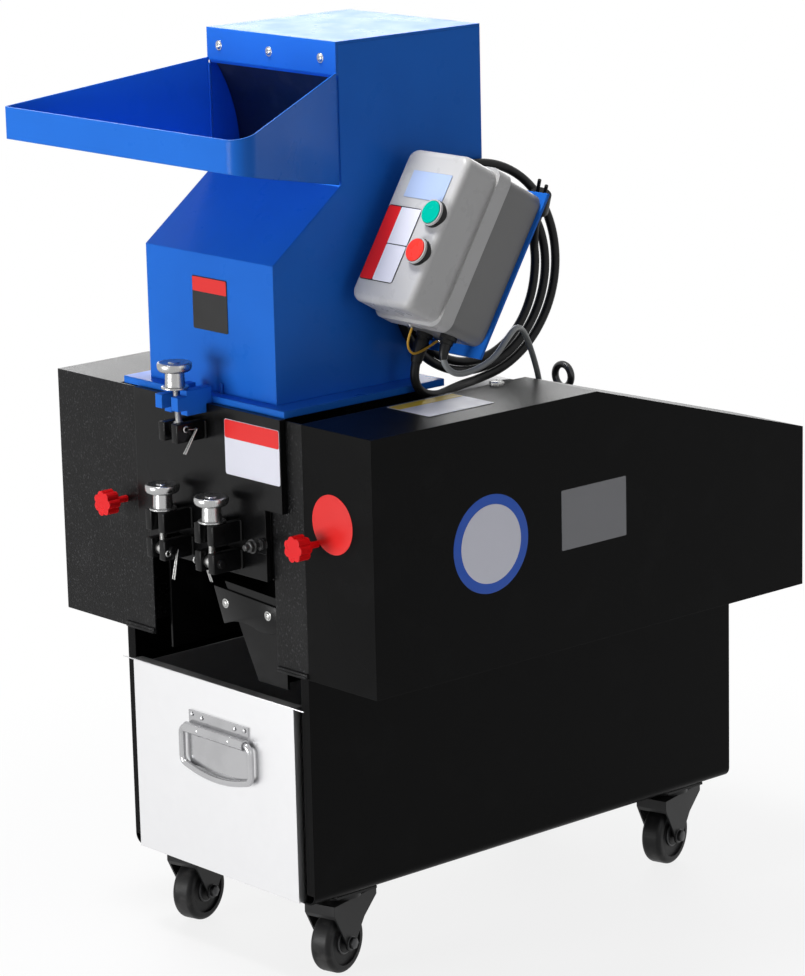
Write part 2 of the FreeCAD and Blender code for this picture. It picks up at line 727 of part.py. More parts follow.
def waste_bin():
    half = "(CabinetWidth / 2 - FrontFlange - BinGap)"
    inset = "(CabinetWidth / 2 - FrontFlange - BinGap - BinInset)"
    foot = "CabinetBottom + Sheet + Seat"
    top = foot + " + BinTall"
    rear = "BinFlange - BinFront + Seat"
    tray = new_body("bin_body")
    box = prism(tray, "top", rectangle(("-" + inset, rear), (inset, "BinDepth")), foot, top + " - 2 * Sheet")
    hollow(tray, box, lambda p, n, b: abs(p.z - b.ZMax) < 0.1, "Sheet")
    keep("bin_body", tray)

    front = new_body("bin_front")
    prism(front, "front", rectangle(("-" + half, foot), (half, top)), "-BinFront", "BinFlange - BinFront")
    cut(front, "front", rectangle(("Sheet - " + half, foot + " + Sheet"), (half + " - Sheet", top + " - Sheet")),
        "Sheet - BinFront", "BinFlange - BinFront + 1")
    keep("bin_front", front)

    at = ("HandleAcross", "-BinFront", foot + " + BinTall - HandleDrop")
    plate = new_body("handle_plate", at)
    prism(plate, "front", rectangle(("-HandleHalf", "-HandleSkirt"), ("HandleHalf", "HandleTop")), "-Sheet", "0")
    prism(plate, "side", [], "-HandleHalf", "HandleHalf", [("-KnuckleRadius", "0", "KnuckleRadius")])
    cut(plate, "side", [], "-HandleHalf - 1", "BailPin - HandleHalf", [("-KnuckleRadius", "0", "BailWire + BailFit")])
    cut(plate, "side", [], "HandleHalf - BailPin", "HandleHalf + 1", [("-KnuckleRadius", "0", "BailWire + BailFit")])
    keep("handle_plate", plate)

    span = size("BailHalf")
    inner = size("HandleHalf") - size("BailPin") + size("BailFit")
    leg = size("BailLeg")
    sag = size("BailSag")
    route = [V(-inner, 0, 0), V(-span, 0, 0), V(-span, 0, -leg), V(0, 0, -leg - sag), V(span, 0, -leg), V(span, 0, 0),
             V(inner, 0, 0)]
    turns = [size("BailBend") * size("BailWire")] * 5
    turns[2] = size("BailBow") * span
    bail = rod("handle_bail", route, size("BailWire"), turns)
    low = size("CabinetBottom") + size("Sheet") + size("Seat") + size("BinTall") - size("HandleDrop")
    bail.Placement = FreeCAD.Placement(V(size("HandleAcross"), -size("BinFront") - size("KnuckleRadius") - size("Setback"),
                                         low), FreeCAD.Rotation())
    keep("handle_bail", bail)


# Round bars, cables and flexible leads: straight runs joined by tangent arcs

def rod(name, points, radius, turns=None):
    """A bar along a route; a cable's arcs are as large as their runs allow."""
    edges = []
    last = points[0]
    length = 0.0
    for i in range(1, len(points) - 1):
        back = points[i - 1] - points[i]
        ahead = points[i + 1] - points[i]
        turn = math.pi - back.getAngle(ahead)
        if turns:
            bend = turns[i - 1]
        else:
            bend = 0.45 * min(back.Length, ahead.Length) / math.tan(turn / 2)
            print("%s: run %.1f, turn %.0f, radius %.1f" % (name, back.Length, math.degrees(turn), bend))
        reach = bend * math.tan(turn / 2)
        back.normalize()
        ahead.normalize()
        first = points[i] + back * reach
        second = points[i] + ahead * reach
        middle = (back + ahead).normalize()
        centre = points[i] + middle * (bend / math.cos(turn / 2))
        top = centre - middle * bend
        edges.append(Part.LineSegment(last, first).toShape())
        edges.append(Part.Arc(first, top, second).toShape())
        length += (first - last).Length + bend * turn
        last = second
    edges.append(Part.LineSegment(last, points[-1]).toShape())
    length += (points[-1] - last).Length
    path = Part.Wire(edges)
    circle = Part.Wire(Part.makeCircle(radius, points[0], points[1] - points[0]))
    bar = doc.addObject("Part::Feature", name)
    bar.Shape = path.makePipeShell([circle], True, True)
    share = bar.Shape.Volume / (math.pi * radius * radius * length)
    print("%s: %.1f mm long, volume against section times length %.4f" % (name, length, share))
    if abs(share - 1) > 0.01:
        raise RuntimeError("volume of " + name)
    return bar


# Casters

def casters():
    side_on = "(CabinetWidth / 2 - CasterInset)"
    spots = [("front_left", "-" + side_on, "CasterEnd"), ("front_right", side_on, "CasterEnd"),
             ("rear_left", "-" + side_on, "CabinetDepth - CasterEnd"),
             ("rear_right", side_on, "CabinetDepth - CasterEnd")]
    top = "CabinetBottom - Plate - Seat"
    crown = "CabinetBottom - Plate - Seat - CrownThick"
    inner = "(WheelWidth / 2 + ForkGap)"
    outer = "(WheelWidth / 2 + ForkGap + ForkSheet)"
    plates = []
    for name, across, along in spots:
        plate = new_body("caster_plate_" + name, (across, along, "0"))
        prism(plate, "top", rectangle(("-CasterPlate / 2", "-CasterPlate / 2"), ("CasterPlate / 2", "CasterPlate / 2")),
              "CabinetBottom - Plate", "CabinetBottom")
        plates.append(plate)
        fork = new_body("caster_fork_" + name, (across, along, "0"))
        tie(fork, "Placement.Rotation.Angle", "CasterTurn")
        prism(fork, "top", rectangle(("-" + outer, "-ForkDeep"), (outer, "ForkDeep")), crown + " - ForkSheet", crown)
        prism(fork, "top", [], crown, top, [("0", "0", "CrownRadius")])
        prism(fork, "side", [("-ForkDeep", crown), ("-ForkDeep", crown + " - ForkFrontDrop"),
                             ("SkirtIn - ForkDeep", crown + " - SkirtDrop"),
                             ("SkirtIn + ForkSheet - ForkDeep", crown + " - SkirtDrop"),
                             ("ForkSheet - ForkDeep", crown + " - ForkFrontDrop"), ("ForkSheet - ForkDeep", crown)],
              "-" + outer, outer)
        prism(fork, "side", rectangle(("ForkDeep - ForkSheet", crown + " - ForkRearDrop"), ("ForkDeep", crown)),
              "-" + outer, outer)
        for near, far in (("-" + outer, "-" + inner), (inner, outer)):
            prism(fork, "side", [("-ForkDeep", crown), ("-ForkDeep", crown + " - ForkFrontDrop"),
                                 ("-CasterTrail - ForkFoot", "WheelRadius"), ("ForkFoot - CasterTrail", "WheelRadius"),
                                 ("ForkWaist", crown + " - ForkWaistDrop"), ("ForkDeep", crown + " - ForkRearDrop"),
                                 ("ForkDeep", crown)], near, far)
            prism(fork, "side", [], near, far, [("-CasterTrail", "WheelRadius", "ForkEye")])
        prism(fork, "side", [], "-" + outer, outer, [("-CasterTrail", "WheelRadius", "AxleRadius")])
        for near, far in (("-" + outer + " - AxleProud", "-" + outer), (outer, outer + " + AxleProud")):
            prism(fork, "side", [], near, far, [("-CasterTrail", "WheelRadius", "AxleHead")])
        keep("caster_fork_" + name, fork)

        wheel = new_body("caster_wheel_" + name, (across, along, "WheelRadius"))
        tie(wheel, "Placement.Rotation.Angle", "CasterTurn")
        tyre = prism(wheel, "side", [], "-WheelWidth / 2", "WheelWidth / 2", [("-CasterTrail", "0", "WheelRadius")])
        round_edges(wheel, tyre, lambda p, d, b, e: abs(e.Length) > 1, "WheelShoulder")
        for near, far in (("-WheelWidth / 2 - 1", "WheelDish - WheelWidth / 2"),
                          ("WheelWidth / 2 - WheelDish", "WheelWidth / 2 + 1")):
            cut(wheel, "side", [], near, far, [("-CasterTrail", "0", "RimRadius"), ("-CasterTrail", "0", "HubRadius")])
        cut(wheel, "side", [], "-WheelWidth / 2 - 1", "WheelWidth / 2 + 1", [("-CasterTrail", "0", "AxleRadius + AxleFit")])
        keep("caster_wheel_" + name, wheel)
    together("caster_plates", plates)


# Starter box on its tilted bracket

def tilted(name, across="0"):
    """A body whose Z runs up the hopper's sloping back."""
    body = new_body(name, (across, "HopperRearFoot", FOOT))
    body.Placement.Rotation = FreeCAD.Rotation(V(-1, 0, 0), size("StarterTilt"))
    tie(body, "Placement.Rotation.Angle", "StarterTilt")
    return body


def box_outline(margin):
    """The starter's outline, drawn in by a margin. It leans a little, as the bracket's edge does."""
    left, right = "StarterLeft + " + margin, "StarterLeft + StarterWide - " + margin
    low, high = "StarterLow + " + margin, "StarterLow + StarterTall - " + margin
    return [(left, low), (right, low), (right + " + StarterLean", high), (left + " + StarterLean", high)]


def starter():
    right = "BracketRight"
    bracket = tilted("starter_bracket")
    prism(bracket, "front", [("HopperRight", "BracketNotchHigh"), ("BracketNotch", "BracketNotchHigh"),
                             ("BracketNotch", "BracketLow"), ("BracketFoot", "BracketLow"), (right, "BracketHigh"),
                             ("BracketNotch", "BracketHigh"), ("BracketNotch", "BracketHook"),
                             ("HopperRight", "BracketHook")], "Seat - StarterBack", "Plate + Seat - StarterBack")
    keep("starter_bracket", bracket)

    joint = "-StarterBack - BaseDeep"
    base = tilted("starter_base")
    block = prism(base, "front", box_outline("BaseInset"), joint, "-StarterBack")
    round_edges(base, block, lambda p, d, b, e: abs(d.y) > 0.9, "BoxCorner")
    keep("starter_base", base)

    lid = tilted("starter_lid")
    face = joint + " - Seat - LidRim - LidDeep"
    block = prism(lid, "front", box_outline("LidStep"), face, joint + " - Seat")
    corners = round_edges(lid, block, lambda p, d, b, e: abs(d.y) > 0.9, "BoxCorner")
    round_edges(lid, corners, lambda p, d, b, e: abs(p.y - b.YMin) < 0.1, "FaceCorner")
    rim = prism(lid, "front", box_outline("0"), joint + " - Seat - LidRim", joint + " - Seat")
    round_edges(lid, rim, lambda p, d, b, e: abs(d.y) > 0.9 and (abs(p.z - b.ZMin) < 0.1 or abs(p.z - b.ZMax) < 0.1),
                "BoxCorner")
    spots = [("start_button", "StartHigh"), ("stop_button", "StopHigh")]
    spots = [(name, "StarterLeft + ButtonAcross + StarterLean * %s / StarterTall" % up, "StarterLow + " + up)
             for name, up in spots]
    for name, across, height in spots:
        prism(lid, "front", [], face + " - BezelProud", face + " + BezelRoot", [(across, height, "BezelRadius")])
        cut(lid, "front", [], face + " - BezelProud - 1", face + " + ButtonDeep + ButtonProud",
            [(across, height, "ButtonRadius + ButtonFit")])
    keep("starter_lid", lid)
    for name, across, height in spots:
        button = tilted(name)
        prism(button, "front", [], face + " - ButtonProud", face + " + ButtonDeep", [(across, height, "ButtonRadius")])
        keep(name, button)


# Motor behind the chamber

def motor():
    body = new_body("motor", ("0", "MotorY", "MotorZ"))
    prism(body, "side", [], "-MotorLeft", "MotorRight", [("0", "0", "MotorRadius")])
    prism(body, "side", [], "-MotorLeft - CowlLong", "-MotorLeft", [("0", "0", "CowlRadius")])
    for near, far in (("-FootOuter", "-FootInner"), ("FootInner", "FootOuter")):
        prism(body, "side", rectangle(("-MotorFootHalf", MOTOR_FOOT + " - MotorZ"),
                                      ("MotorFootHalf", MOTOR_FOOT + " - MotorZ + MotorFootTall")), near, far)
    prism(body, "side", rectangle(("-BoxFront", "BoxLow"), ("-BoxRear", "BoxHigh")), "BoxAcross - BoxHalf",
          "BoxAcross + BoxHalf")
    keep("motor", body)

    ring = doc.addObject("Part::Torus", "eye_ring")
    tie(ring, "Radius1", "EyeRadius")
    tie(ring, "Radius2", "EyeWire")
    ring.Placement.Rotation = FreeCAD.Rotation(V(1, 0, 0), 90)
    tie(ring, "Placement.Base.z", "MotorZ + CowlRadius + EyeCollar + EyeRadius")
    collar = doc.addObject("Part::Cone", "eye_collar")
    tie(collar, "Radius1", "EyeRadius")
    tie(collar, "Radius2", "EyeWire * 1.6")
    tie(collar, "Height", "EyeCollar + CowlRadius - MotorRadius")
    tie(collar, "Placement.Base.z", "MotorZ + MotorRadius")
    eye = doc.addObject("Part::Fuse", "eye_bolt")
    eye.Base = ring
    eye.Tool = collar
    tie(eye, "Placement.Base.y", "MotorY - Setback")
    keep("eye_bolt", eye)


# Star knobs that hold the side covers

def star_knobs():
    knobs = []
    for number, (across, high) in enumerate((("LeftKnobX", "LeftKnobZ"), ("RightKnobX", "RightKnobZ"))):
        knob = new_body("star_knob_%d" % number, (across, "0", high))
        prism(knob, "front", [], "-KnobStand - KnobThick", "-KnobStand", [("0", "0", "KnobRadius - KnobLobe / 2")])
        for lobe in range(int(size("KnobLobes"))):
            angle = "%d * 360 / KnobLobes" % lobe
            prism(knob, "front", [], "-KnobStand - KnobThick", "-KnobStand",
                  [("(KnobRadius - KnobLobe) * cos(%s)" % angle, "(KnobRadius - KnobLobe) * sin(%s)" % angle,
                    "KnobLobe")])
        prism(knob, "front", [], "-KnobStand - 1", "0", [("0", "0", "KnobStem")])
        knobs.append(knob)
    together("star_knobs", knobs)


# Power cable: gland, free stretch, coil hung over the bracket, plug; and the motor's flexible lead

def sloped(across, up, behind):
    """A point of the starter's tilted frame, in the machine's datum."""
    tilt = math.radians(size("StarterTilt"))
    foot = size("CoverTop") + size("DeckStep") + size("FlangeThick")
    return V(across, size("HopperRearFoot") + up * math.sin(tilt) + behind * math.cos(tilt),
             foot + up * math.cos(tilt) - behind * math.sin(tilt))


def stub(name, end, direction, length):
    """A short cable's end that leaves the coil."""
    piece = doc.addObject("Part::Cylinder", name)
    tie(piece, "Radius", "CableRadius")
    piece.Height = length
    piece.Placement = FreeCAD.Placement(end, FreeCAD.Rotation(V(0, 0, 1), direction))
    return piece


# Points on the way of the power cable and the lead, measured from their glands' place on the deck

POWER_ROUTE = [(0, -32, 9), (-5, -2, -6)]
LEAD_ROUTE = [(6, -32, 31), (13, -8, 33), (17, 21, 44), (9, 49, 63), (-5, 77, 71), (-21, 104, 57), (-35, 128, 29),
              (-49, 152, -7), (-74, 179, -43), (-107, 200, -71)]


def cables():
    drop = sloped(0, 0, 0) - sloped(0, 1, 0)
    glands = tilted("cable_glands")
    for across, behind in (("GlandAcross", "-GlandBehind"), ("LeadAcross", "-LeadBehind")):
        prism(glands, "top", [], "StarterLow + BaseInset - GlandLong / 2", "StarterLow + BaseInset",
              [(across, behind, "GlandRadius")])
        prism(glands, "top", [], "StarterLow + BaseInset - GlandLong", "StarterLow + BaseInset - GlandLong / 2",
              [(across, behind, "GlandRadius * 0.75")])
    keep("cable_glands", glands)

    shift = FreeCAD.Placement(V(0, -size("Setback"), 0), FreeCAD.Rotation())
    exit_height = size("StarterLow") + size("BaseInset") - size("GlandLong")
    wall = size("HopperRight") + 1.5 * size("Seat")
    middle = wall + size("CoilThick") / 2
    leave = size("StubLong")
    aside = math.sin(math.radians(size("StubTurn")))
    along = math.cos(math.radians(size("StubTurn")))
    climb = math.radians(size("PlugTurn"))
    middle_turn = size("CoilInner") + size("CableRadius")

    ring = new_body("coil_ring")
    prism(ring, "side", [], "HopperRight + 1.5 * Seat", "HopperRight + 1.5 * Seat + CoilThick",
          [("CoilY", "CoilZ", "CoilOuter"), ("CoilInnerY", "CoilInnerZ", "CoilInner")])
    low = V(middle, size("CoilY"), size("CoilZ") - size("CoilOuter") + size("CableRadius"))
    high = V(middle, size("CoilInnerY") + middle_turn * math.sin(climb),
             size("CoilInnerZ") + middle_turn * math.cos(climb))
    inward = V(aside, -along, 0)
    lean = math.radians(size("PlugAside"))
    upward = V(math.sin(lean), -math.cos(lean) * math.cos(climb), math.cos(lean) * math.sin(climb))
    stubs = [stub("coil_start", low - V(0, size("Setback"), 0), inward, leave),
             stub("coil_end", high - V(0, size("Setback"), 0), upward, size("PlugStub"))]
    coil = doc.addObject("Part::MultiFuse", "cable_coil")
    coil.Shapes = [ring] + stubs
    keep("cable_coil", coil)

    start = sloped(size("GlandAcross"), exit_height, -size("GlandBehind"))
    joint = low + inward * leave
    corner = V(size("GlandAcross"), size("HopperRearFoot"), size("CoverTop"))
    power = rod("power_cable", [start, start + drop * size("CableRun")] + [corner + V(*p) for p in POWER_ROUTE]
                + [joint + inward * size("CableRun"), joint], size("CableRadius"))
    power.Placement = shift
    keep("power_cable", power)

    rear = high + upward * size("PlugStub")
    plug = new_body("mains_plug", None)
    relief = "PlugRelief"
    turned(plug, [("0", "0"), ("CableRadius", "0"), ("CableRadius + ReliefEdge", relief), ("PlugRadius", relief + " + PlugEdge"),
                  ("PlugRadius", relief + " + PlugLong"), ("0", relief + " + PlugLong")])
    for side in ("-", ""):
        prism(plug, "top", [], relief + " + PlugLong", relief + " + PlugLong + PlugPinLong",
              [(side + "PlugPinHalf", "0", "PlugPinRadius")])
    plug.Placement = FreeCAD.Placement(rear - V(0, size("Setback"), 0), FreeCAD.Rotation(V(0, 0, 1), upward))
    keep("mains_plug", plug)

    start = sloped(size("LeadAcross"), exit_height, -size("LeadBehind"))
    across = size("BoxAcross")
    box_front = size("MotorY") - size("BoxFront")
    box_height = size("MotorZ") + (size("BoxLow") + size("BoxHigh")) / 2
    corner = V(size("LeadAcross"), size("HopperRearFoot"), size("CoverTop"))
    lead = rod("motor_lead", [start, start + drop * size("LeadRun")] + [corner + V(*p) for p in LEAD_ROUTE]
               + [V(across + size("LeadAside"), box_front - size("LeadAhead"), box_height + size("LeadAbove")),
                  V(across, box_front - size("Seat"), box_height)], size("LeadRadius"))
    lead.Placement = shift
    keep("motor_lead", lead)


def build():
    cabinet()
    cheek("cheek_left", "-", "CheekFlange", "CheekNarrow")
    cheek("cheek_right", "", "CheekFlange", "CheekFlange")
    belt_guard()
    flywheel_cover()
    chamber()
    hopper()
    feed_scoop()
    feed_curtain()
    clamps()
    waste_bin()
    casters()
    starter()
    motor()
    star_knobs()
    cables()


build()
doc.recompute()
faults = [item.Name for item in doc.Objects if "Invalid" in item.State or "Error" in item.State]
if faults:
    raise RuntimeError("failed: " + ", ".join(faults))
for name, item in nodes.items():
    if item.Shape.isNull() or not item.Shape.isValid():
        raise RuntimeError("no valid shape: " + name)
os.makedirs("parts", exist_ok=True)
for name, item in nodes.items():
    item.Shape.exportStep("parts/%s.step" % name)
    box = item.Shape.BoundBox
    print("%-28s %2d solids  %9.0f mm3  x %7.1f %7.1f  y %7.1f %7.1f  z %7.1f %7.1f" % (
        name, len(item.Shape.Solids), item.Shape.Volume, box.XMin, box.XMax, box.YMin, box.YMax,
        box.ZMin, box.ZMax))
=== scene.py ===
# %% [markdown]
# A plastic shredder on casters. Scrap goes in at the blue hopper, is cut in the black chamber between
# the side covers, and falls as granulate into the stainless bin. The imported model is loaded as a
# fixed frame first, because every later piece is placed on it and never the other way round.

# %% Load the frame
import json
import math
import bmesh
import bpy
from mathutils import Matrix, Vector


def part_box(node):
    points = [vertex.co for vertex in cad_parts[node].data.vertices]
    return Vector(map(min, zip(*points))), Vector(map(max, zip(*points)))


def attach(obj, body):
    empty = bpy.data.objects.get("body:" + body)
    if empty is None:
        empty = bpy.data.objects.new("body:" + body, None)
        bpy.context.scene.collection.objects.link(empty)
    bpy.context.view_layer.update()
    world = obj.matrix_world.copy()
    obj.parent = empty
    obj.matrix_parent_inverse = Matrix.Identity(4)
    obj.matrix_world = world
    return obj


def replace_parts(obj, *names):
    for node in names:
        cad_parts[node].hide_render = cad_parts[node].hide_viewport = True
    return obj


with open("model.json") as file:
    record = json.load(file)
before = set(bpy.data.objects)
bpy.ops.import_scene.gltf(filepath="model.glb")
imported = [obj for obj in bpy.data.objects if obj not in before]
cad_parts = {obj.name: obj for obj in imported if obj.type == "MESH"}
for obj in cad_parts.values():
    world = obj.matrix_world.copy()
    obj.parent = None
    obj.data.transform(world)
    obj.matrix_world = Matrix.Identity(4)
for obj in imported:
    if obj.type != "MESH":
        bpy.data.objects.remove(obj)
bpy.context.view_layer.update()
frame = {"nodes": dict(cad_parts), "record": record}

nodes = frame["nodes"]

# %% [markdown]
# The camera stands where the photographer stood: to the right of the front and a little above the
# machine, far away, so that upright edges stay nearly parallel. A tracking constraint could aim it,
# but the picture is also rolled by about a degree, so its three directions are worked out here and
# given as one matrix. The small lens shift puts the machine where it is in the picture's frame.

# %% Camera
PICTURE = (805, 976)
FOCAL_PIXELS = 3869.9
PRINCIPAL = (414.2, 523.7)
STAND = (3.3706, -2.9594, 1.5988)
AZIMUTH, ELEVATION, ROLL = (math.radians(angle) for angle in (48.527, 14.127, -1.293))
SENSOR = 36
back = Vector((math.sin(AZIMUTH) * math.cos(ELEVATION), -math.cos(AZIMUTH) * math.cos(ELEVATION),
               math.sin(ELEVATION)))
level = Vector((0, 0, 1)).cross(back).normalized()
upright = back.cross(level)
right = level * math.cos(ROLL) + upright * math.sin(ROLL)
up = upright * math.cos(ROLL) - level * math.sin(ROLL)


def placed(name, data):
    """An object that shows some data, put into the scene."""
    made = bpy.data.objects.new(name, data)
    bpy.context.scene.collection.objects.link(made)
    return made


camera_data = bpy.data.cameras.new("camera")
camera = placed("camera", camera_data)
camera.matrix_world = Matrix.Translation(STAND) @ Matrix((right, up, back)).transposed().to_4x4()
camera_data.sensor_fit = "HORIZONTAL"
camera_data.sensor_width = SENSOR
camera_data.lens = SENSOR * FOCAL_PIXELS / PICTURE[0]
camera_data.shift_x = (PICTURE[0] / 2 - PRINCIPAL[0]) / PICTURE[0]
camera_data.shift_y = (PRINCIPAL[1] - PICTURE[1] / 2) / PICTURE[0]
camera_data.clip_end = 50
bpy.context.scene.camera = camera
print("camera: lens %.1f mm, shift %.4f %.4f" % (camera_data.lens, camera_data.shift_x, camera_data.shift_y))

# %% [markdown]
# A cable is one long bendy thing, so it is drawn as one smooth curve with a round section: a NURBS line
# of order three whose control points are the route's points. The order is set after the points,
# because before them it would not take hold. A point's own radius widens the curve's box as well as
# its section, so it is kept small and the bevel's depth makes up for it.

# %% Helpers that draw a cable and measure it
POINT = 0.01


def round_line(name, places, radii, depth, kind="NURBS", around=4, along=12):
    """A curve whose round section is the depth times the radius at each place."""
    curve = bpy.data.curves.new(name, "CURVE")
    curve.dimensions = "3D"
    line = curve.splines.new(kind)
    line.points.add(len(places) - 1)
    for point, place, radius in zip(line.points, places, radii):
        point.co = (*place, 1)
        point.radius = radius
    if kind == "NURBS":
        line.order_u = 3
        line.use_endpoint_u = True
        line.resolution_u = along
    curve.bevel_depth = depth
    curve.bevel_resolution = around
    curve.use_fill_caps = True
    return placed(name, curve)


def cable(name, route, radius):
    """A free cable through its route's points."""
    made = round_line(name, route, [POINT] * len(route), radius / POINT, around=5, along=8)
    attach(made, "machine")
    return made


def drawn_line(piece):
    """The points of a cable's smooth line, read back from the curve with no thickness."""
    copy = piece.data.copy()
    copy.bevel_depth = 0
    scratch = bpy.data.objects.new("scratch", copy)
    mesh = bpy.data.meshes.new_from_object(scratch)
    points = [vertex.co.copy() for vertex in mesh.vertices]
    bpy.data.objects.remove(scratch)
    bpy.data.meshes.remove(mesh)
    return points


def long_of(points):
    """The length of a line of points."""
    return sum((b - a).length for a, b in zip(points, points[1:]))


print("cable helpers are ready")

# %% [markdown]
# The supply cable leaves the gland under the starter box, bends behind the hopper's foot and is hung
# up in loose turns over the box's bracket. Its turns are not alike: they lie close together where they
# hang on the bracket and where they pass the box, and fan out behind it. So each quarter of a turn has
# its own radius, and a loop works out sixteen points a turn between them.

# %% Supply cable with its hanging turns
CABLE = 0.00525
HANG = Vector((0.11285, 0.020, 0.7855))
STEPS = 16
LAST_ANGLE = 825
first_run = [(0.150, -0.0945, 0.7268), (0.150, -0.1085, 0.7006), (0.150, -0.1050, 0.6720),
             (0.1465, -0.0740, 0.6590), (0.1361, -0.0379, 0.66125), (0.12585, -0.0097, 0.66125)]
last_point = (0.1246, 0.1085, 0.8323)
quarter_radii = [0.1243, 0.1317, 0.1272, 0.1205, 0.1136, 0.1150, 0.1027, 0.1095, 0.1030, 0.0978, 0.0978]
turns = []
for step in range(math.ceil(LAST_ANGLE * STEPS / 360) + 1):
    angle = min(step * 360 / STEPS, LAST_ANGLE)
    quarter, part = divmod(angle / 90, 1)
    ease = (1 - math.cos(math.pi * part)) / 2
    near, far = quarter_radii[int(quarter)], quarter_radii[int(quarter) + 1]
    radius = (near + (far - near) * ease) / math.cos(math.pi / STEPS)
    bearing = math.radians(angle)
    turns.append((HANG.x, HANG.y + radius * math.sin(bearing), HANG.z - radius * math.cos(bearing)))
supply = cable("supply_cable", first_run + turns + [last_point], CABLE)
supply_line = drawn_line(supply)
supply_length = long_of(supply_line)
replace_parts(supply, "power_cable", "cable_coil")
print("supply cable: %.3f m in %d points" % (supply_length, len(supply_line)))

# %% [markdown]
# A thinner grey lead runs from the same box to the motor's terminal box. It rises behind the bracket
# in one free bow and comes down on the motor.

# %% Motor lead
LEAD = 0.0035
lead_route = [(0.200, -0.1032, 0.7316), (0.200, -0.1119, 0.7159), (0.206, -0.098, 0.696),
              (0.213, -0.074, 0.698), (0.217, -0.045, 0.709), (0.209, -0.017, 0.728),
              (0.195, 0.011, 0.736), (0.179, 0.038, 0.722), (0.165, 0.062, 0.694), (0.151, 0.086, 0.658),
              (0.126, 0.113, 0.622), (0.093, 0.134, 0.594), (0.063, 0.154, 0.576), (0.057, 0.1777, 0.573)]
lead = cable("motor_flex", lead_route, LEAD)
lead_line = drawn_line(lead)
lead_length = long_of(lead_line)
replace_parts(lead, "motor_lead")
print("motor lead: %.3f m" % lead_length)

# %% [markdown]
# A finish is a small tree of shader nodes. Setting out each Math node by hand hides the sum that it
# stands for, so one class wraps a socket and lets sums on its values be written as plain expressions.
# A second class holds a finish's shader and adds any other node with its settings and sockets.

# %% Shader maths as expressions
class Wire:
    """One output socket, on which sums can be written."""

    def __init__(self, finish, socket):
        self.finish = finish
        self.socket = socket

    def sum(self, operation, first, second):
        return self.finish.node("ShaderNodeMath", {"operation": operation}, {0: first, 1: second})

    def __add__(self, other):
        return self.sum("ADD", self, other)

    def __sub__(self, other):
        return self.sum("SUBTRACT", self, other)

    def __rsub__(self, other):
        return self.sum("SUBTRACT", other, self)

    def __mul__(self, other):
        return self.sum("MULTIPLY", self, other)

    __radd__ = __add__
    __rmul__ = __mul__


print("shader sums are ready")

# %% [markdown]
# The second class keeps each finish under its name. Its relief is bumps laid over edges that are
# rounded for the light only, as the bends of folded sheet are.

# %% Finishes and their patterns
finishes = {}


class Finish:
    """A procedural material: its tree, its shader, and a method that adds any node."""

    def __init__(self, name, colour, roughness, metallic=0.0, **fixed):
        self.material = finishes[name] = bpy.data.materials.new(name)
        self.material.use_nodes = True
        self.tree = self.material.node_tree
        self.shader = self.tree.nodes["Principled BSDF"]
        self.feed("Base Color", (*colour, 1))
        self.feed("Roughness", roughness)
        self.feed("Metallic", metallic)
        for socket, value in fixed.items():
            self.feed(socket.replace("_", " "), value)

    def put(self, socket, value):
        if isinstance(value, Wire):
            self.tree.links.new(value.socket, socket)
        else:
            socket.default_value = value

    def feed(self, name, value):
        self.put(self.shader.inputs[name], value)

    def node(self, kind, settings=None, sockets=None, out=0):
        made = self.tree.nodes.new(kind)
        for name, value in (settings or {}).items():
            setattr(made, name, value)
        for key, value in (sockets or {}).items():
            self.put(made.inputs[key], value)
        return Wire(self, made.outputs[out])

    def place(self, stretch=(1, 1, 1)):
        """Object coordinates, stretched."""
        where = self.node("ShaderNodeTexCoord", out="Object")
        return self.node("ShaderNodeMapping", None, {"Vector": where, "Scale": stretch})

    def noise(self, scale, detail=3.0, rough=0.5, where=None):
        """A cloudy value between 0 and 1."""
        return self.node("ShaderNodeTexNoise", None,
                         {"Vector": where or self.place(), "Scale": scale, "Detail": detail, "Roughness": rough})

    def ramp(self, value, low, high, bottom=0.0, top=1.0):
        """A soft step of a value from one level to another."""
        return self.node("ShaderNodeMapRange", {"interpolation_type": "SMOOTHSTEP"},
                         {"Value": value, "From Min": low, "From Max": high, "To Min": bottom, "To Max": top})

    def mixed(self, mask, first, second):
        """A colour that goes from one to another with a mask."""
        return self.node("ShaderNodeMix", {"data_type": "RGBA"}, {0: mask, 6: (*first, 1), 7: (*second, 1)}, out=2)

    def relief(self, height, strength, distance, bend):
        """Small bumps from a height, over edges that are rounded by a bend's radius."""
        rounded = self.node("ShaderNodeBevel", {"samples": 4}, {"Radius": bend})
        self.feed("Normal", self.node("ShaderNodeBump", None, {"Height": height, "Strength": strength,
                                                               "Distance": distance, "Normal": rounded}))


print("finish helpers are ready")

# %% [markdown]
# The covers and the cabinet wear black textured powder coat: a fine, even wrinkle that turns the
# lamps' reflections into broad dim patches. A noise pattern of about a millimetre gives that wrinkle
# as bumps, and a much larger, faint noise keeps the big panels from looking even all over. On the
# front coat the crests of a fine noise are painted lighter, as painted glints of a lamp on the wrinkle.
# The dust that settles on such paint is only a slight lift of the colour, towards the same grey.

# %% Black powder coat, textured and smooth
DUST_AND_GLINT = (0.05, 0.05, 0.052)


def powder_coat(name, colour, roughness, wrinkle, size, dust, shine=0.5, painted_glint=0.0):
    finish = Finish(name, colour, roughness, Specular_IOR_Level=shine)
    clouds = finish.noise(3.1, 4.0)
    fine = finish.noise(size, 3.0, 0.6)
    dusty = finish.ramp(finish.noise(17.0, 5.0), 0.5, 0.75)
    # painted glints: the lighter crests stand in for a lamp's sparkle on the wrinkle, and share the dust's grey
    glint_crests = finish.ramp(finish.noise(size * 0.8, 2.0, 0.5), 0.56, 0.74)
    finish.feed("Base Color", finish.mixed(dusty * dust + glint_crests * painted_glint, colour, DUST_AND_GLINT))
    finish.feed("Roughness", finish.ramp(clouds, 0.3, 0.7, roughness - 0.06, roughness + 0.06))
    finish.relief(fine, wrinkle, 0.0004, 0.0012)


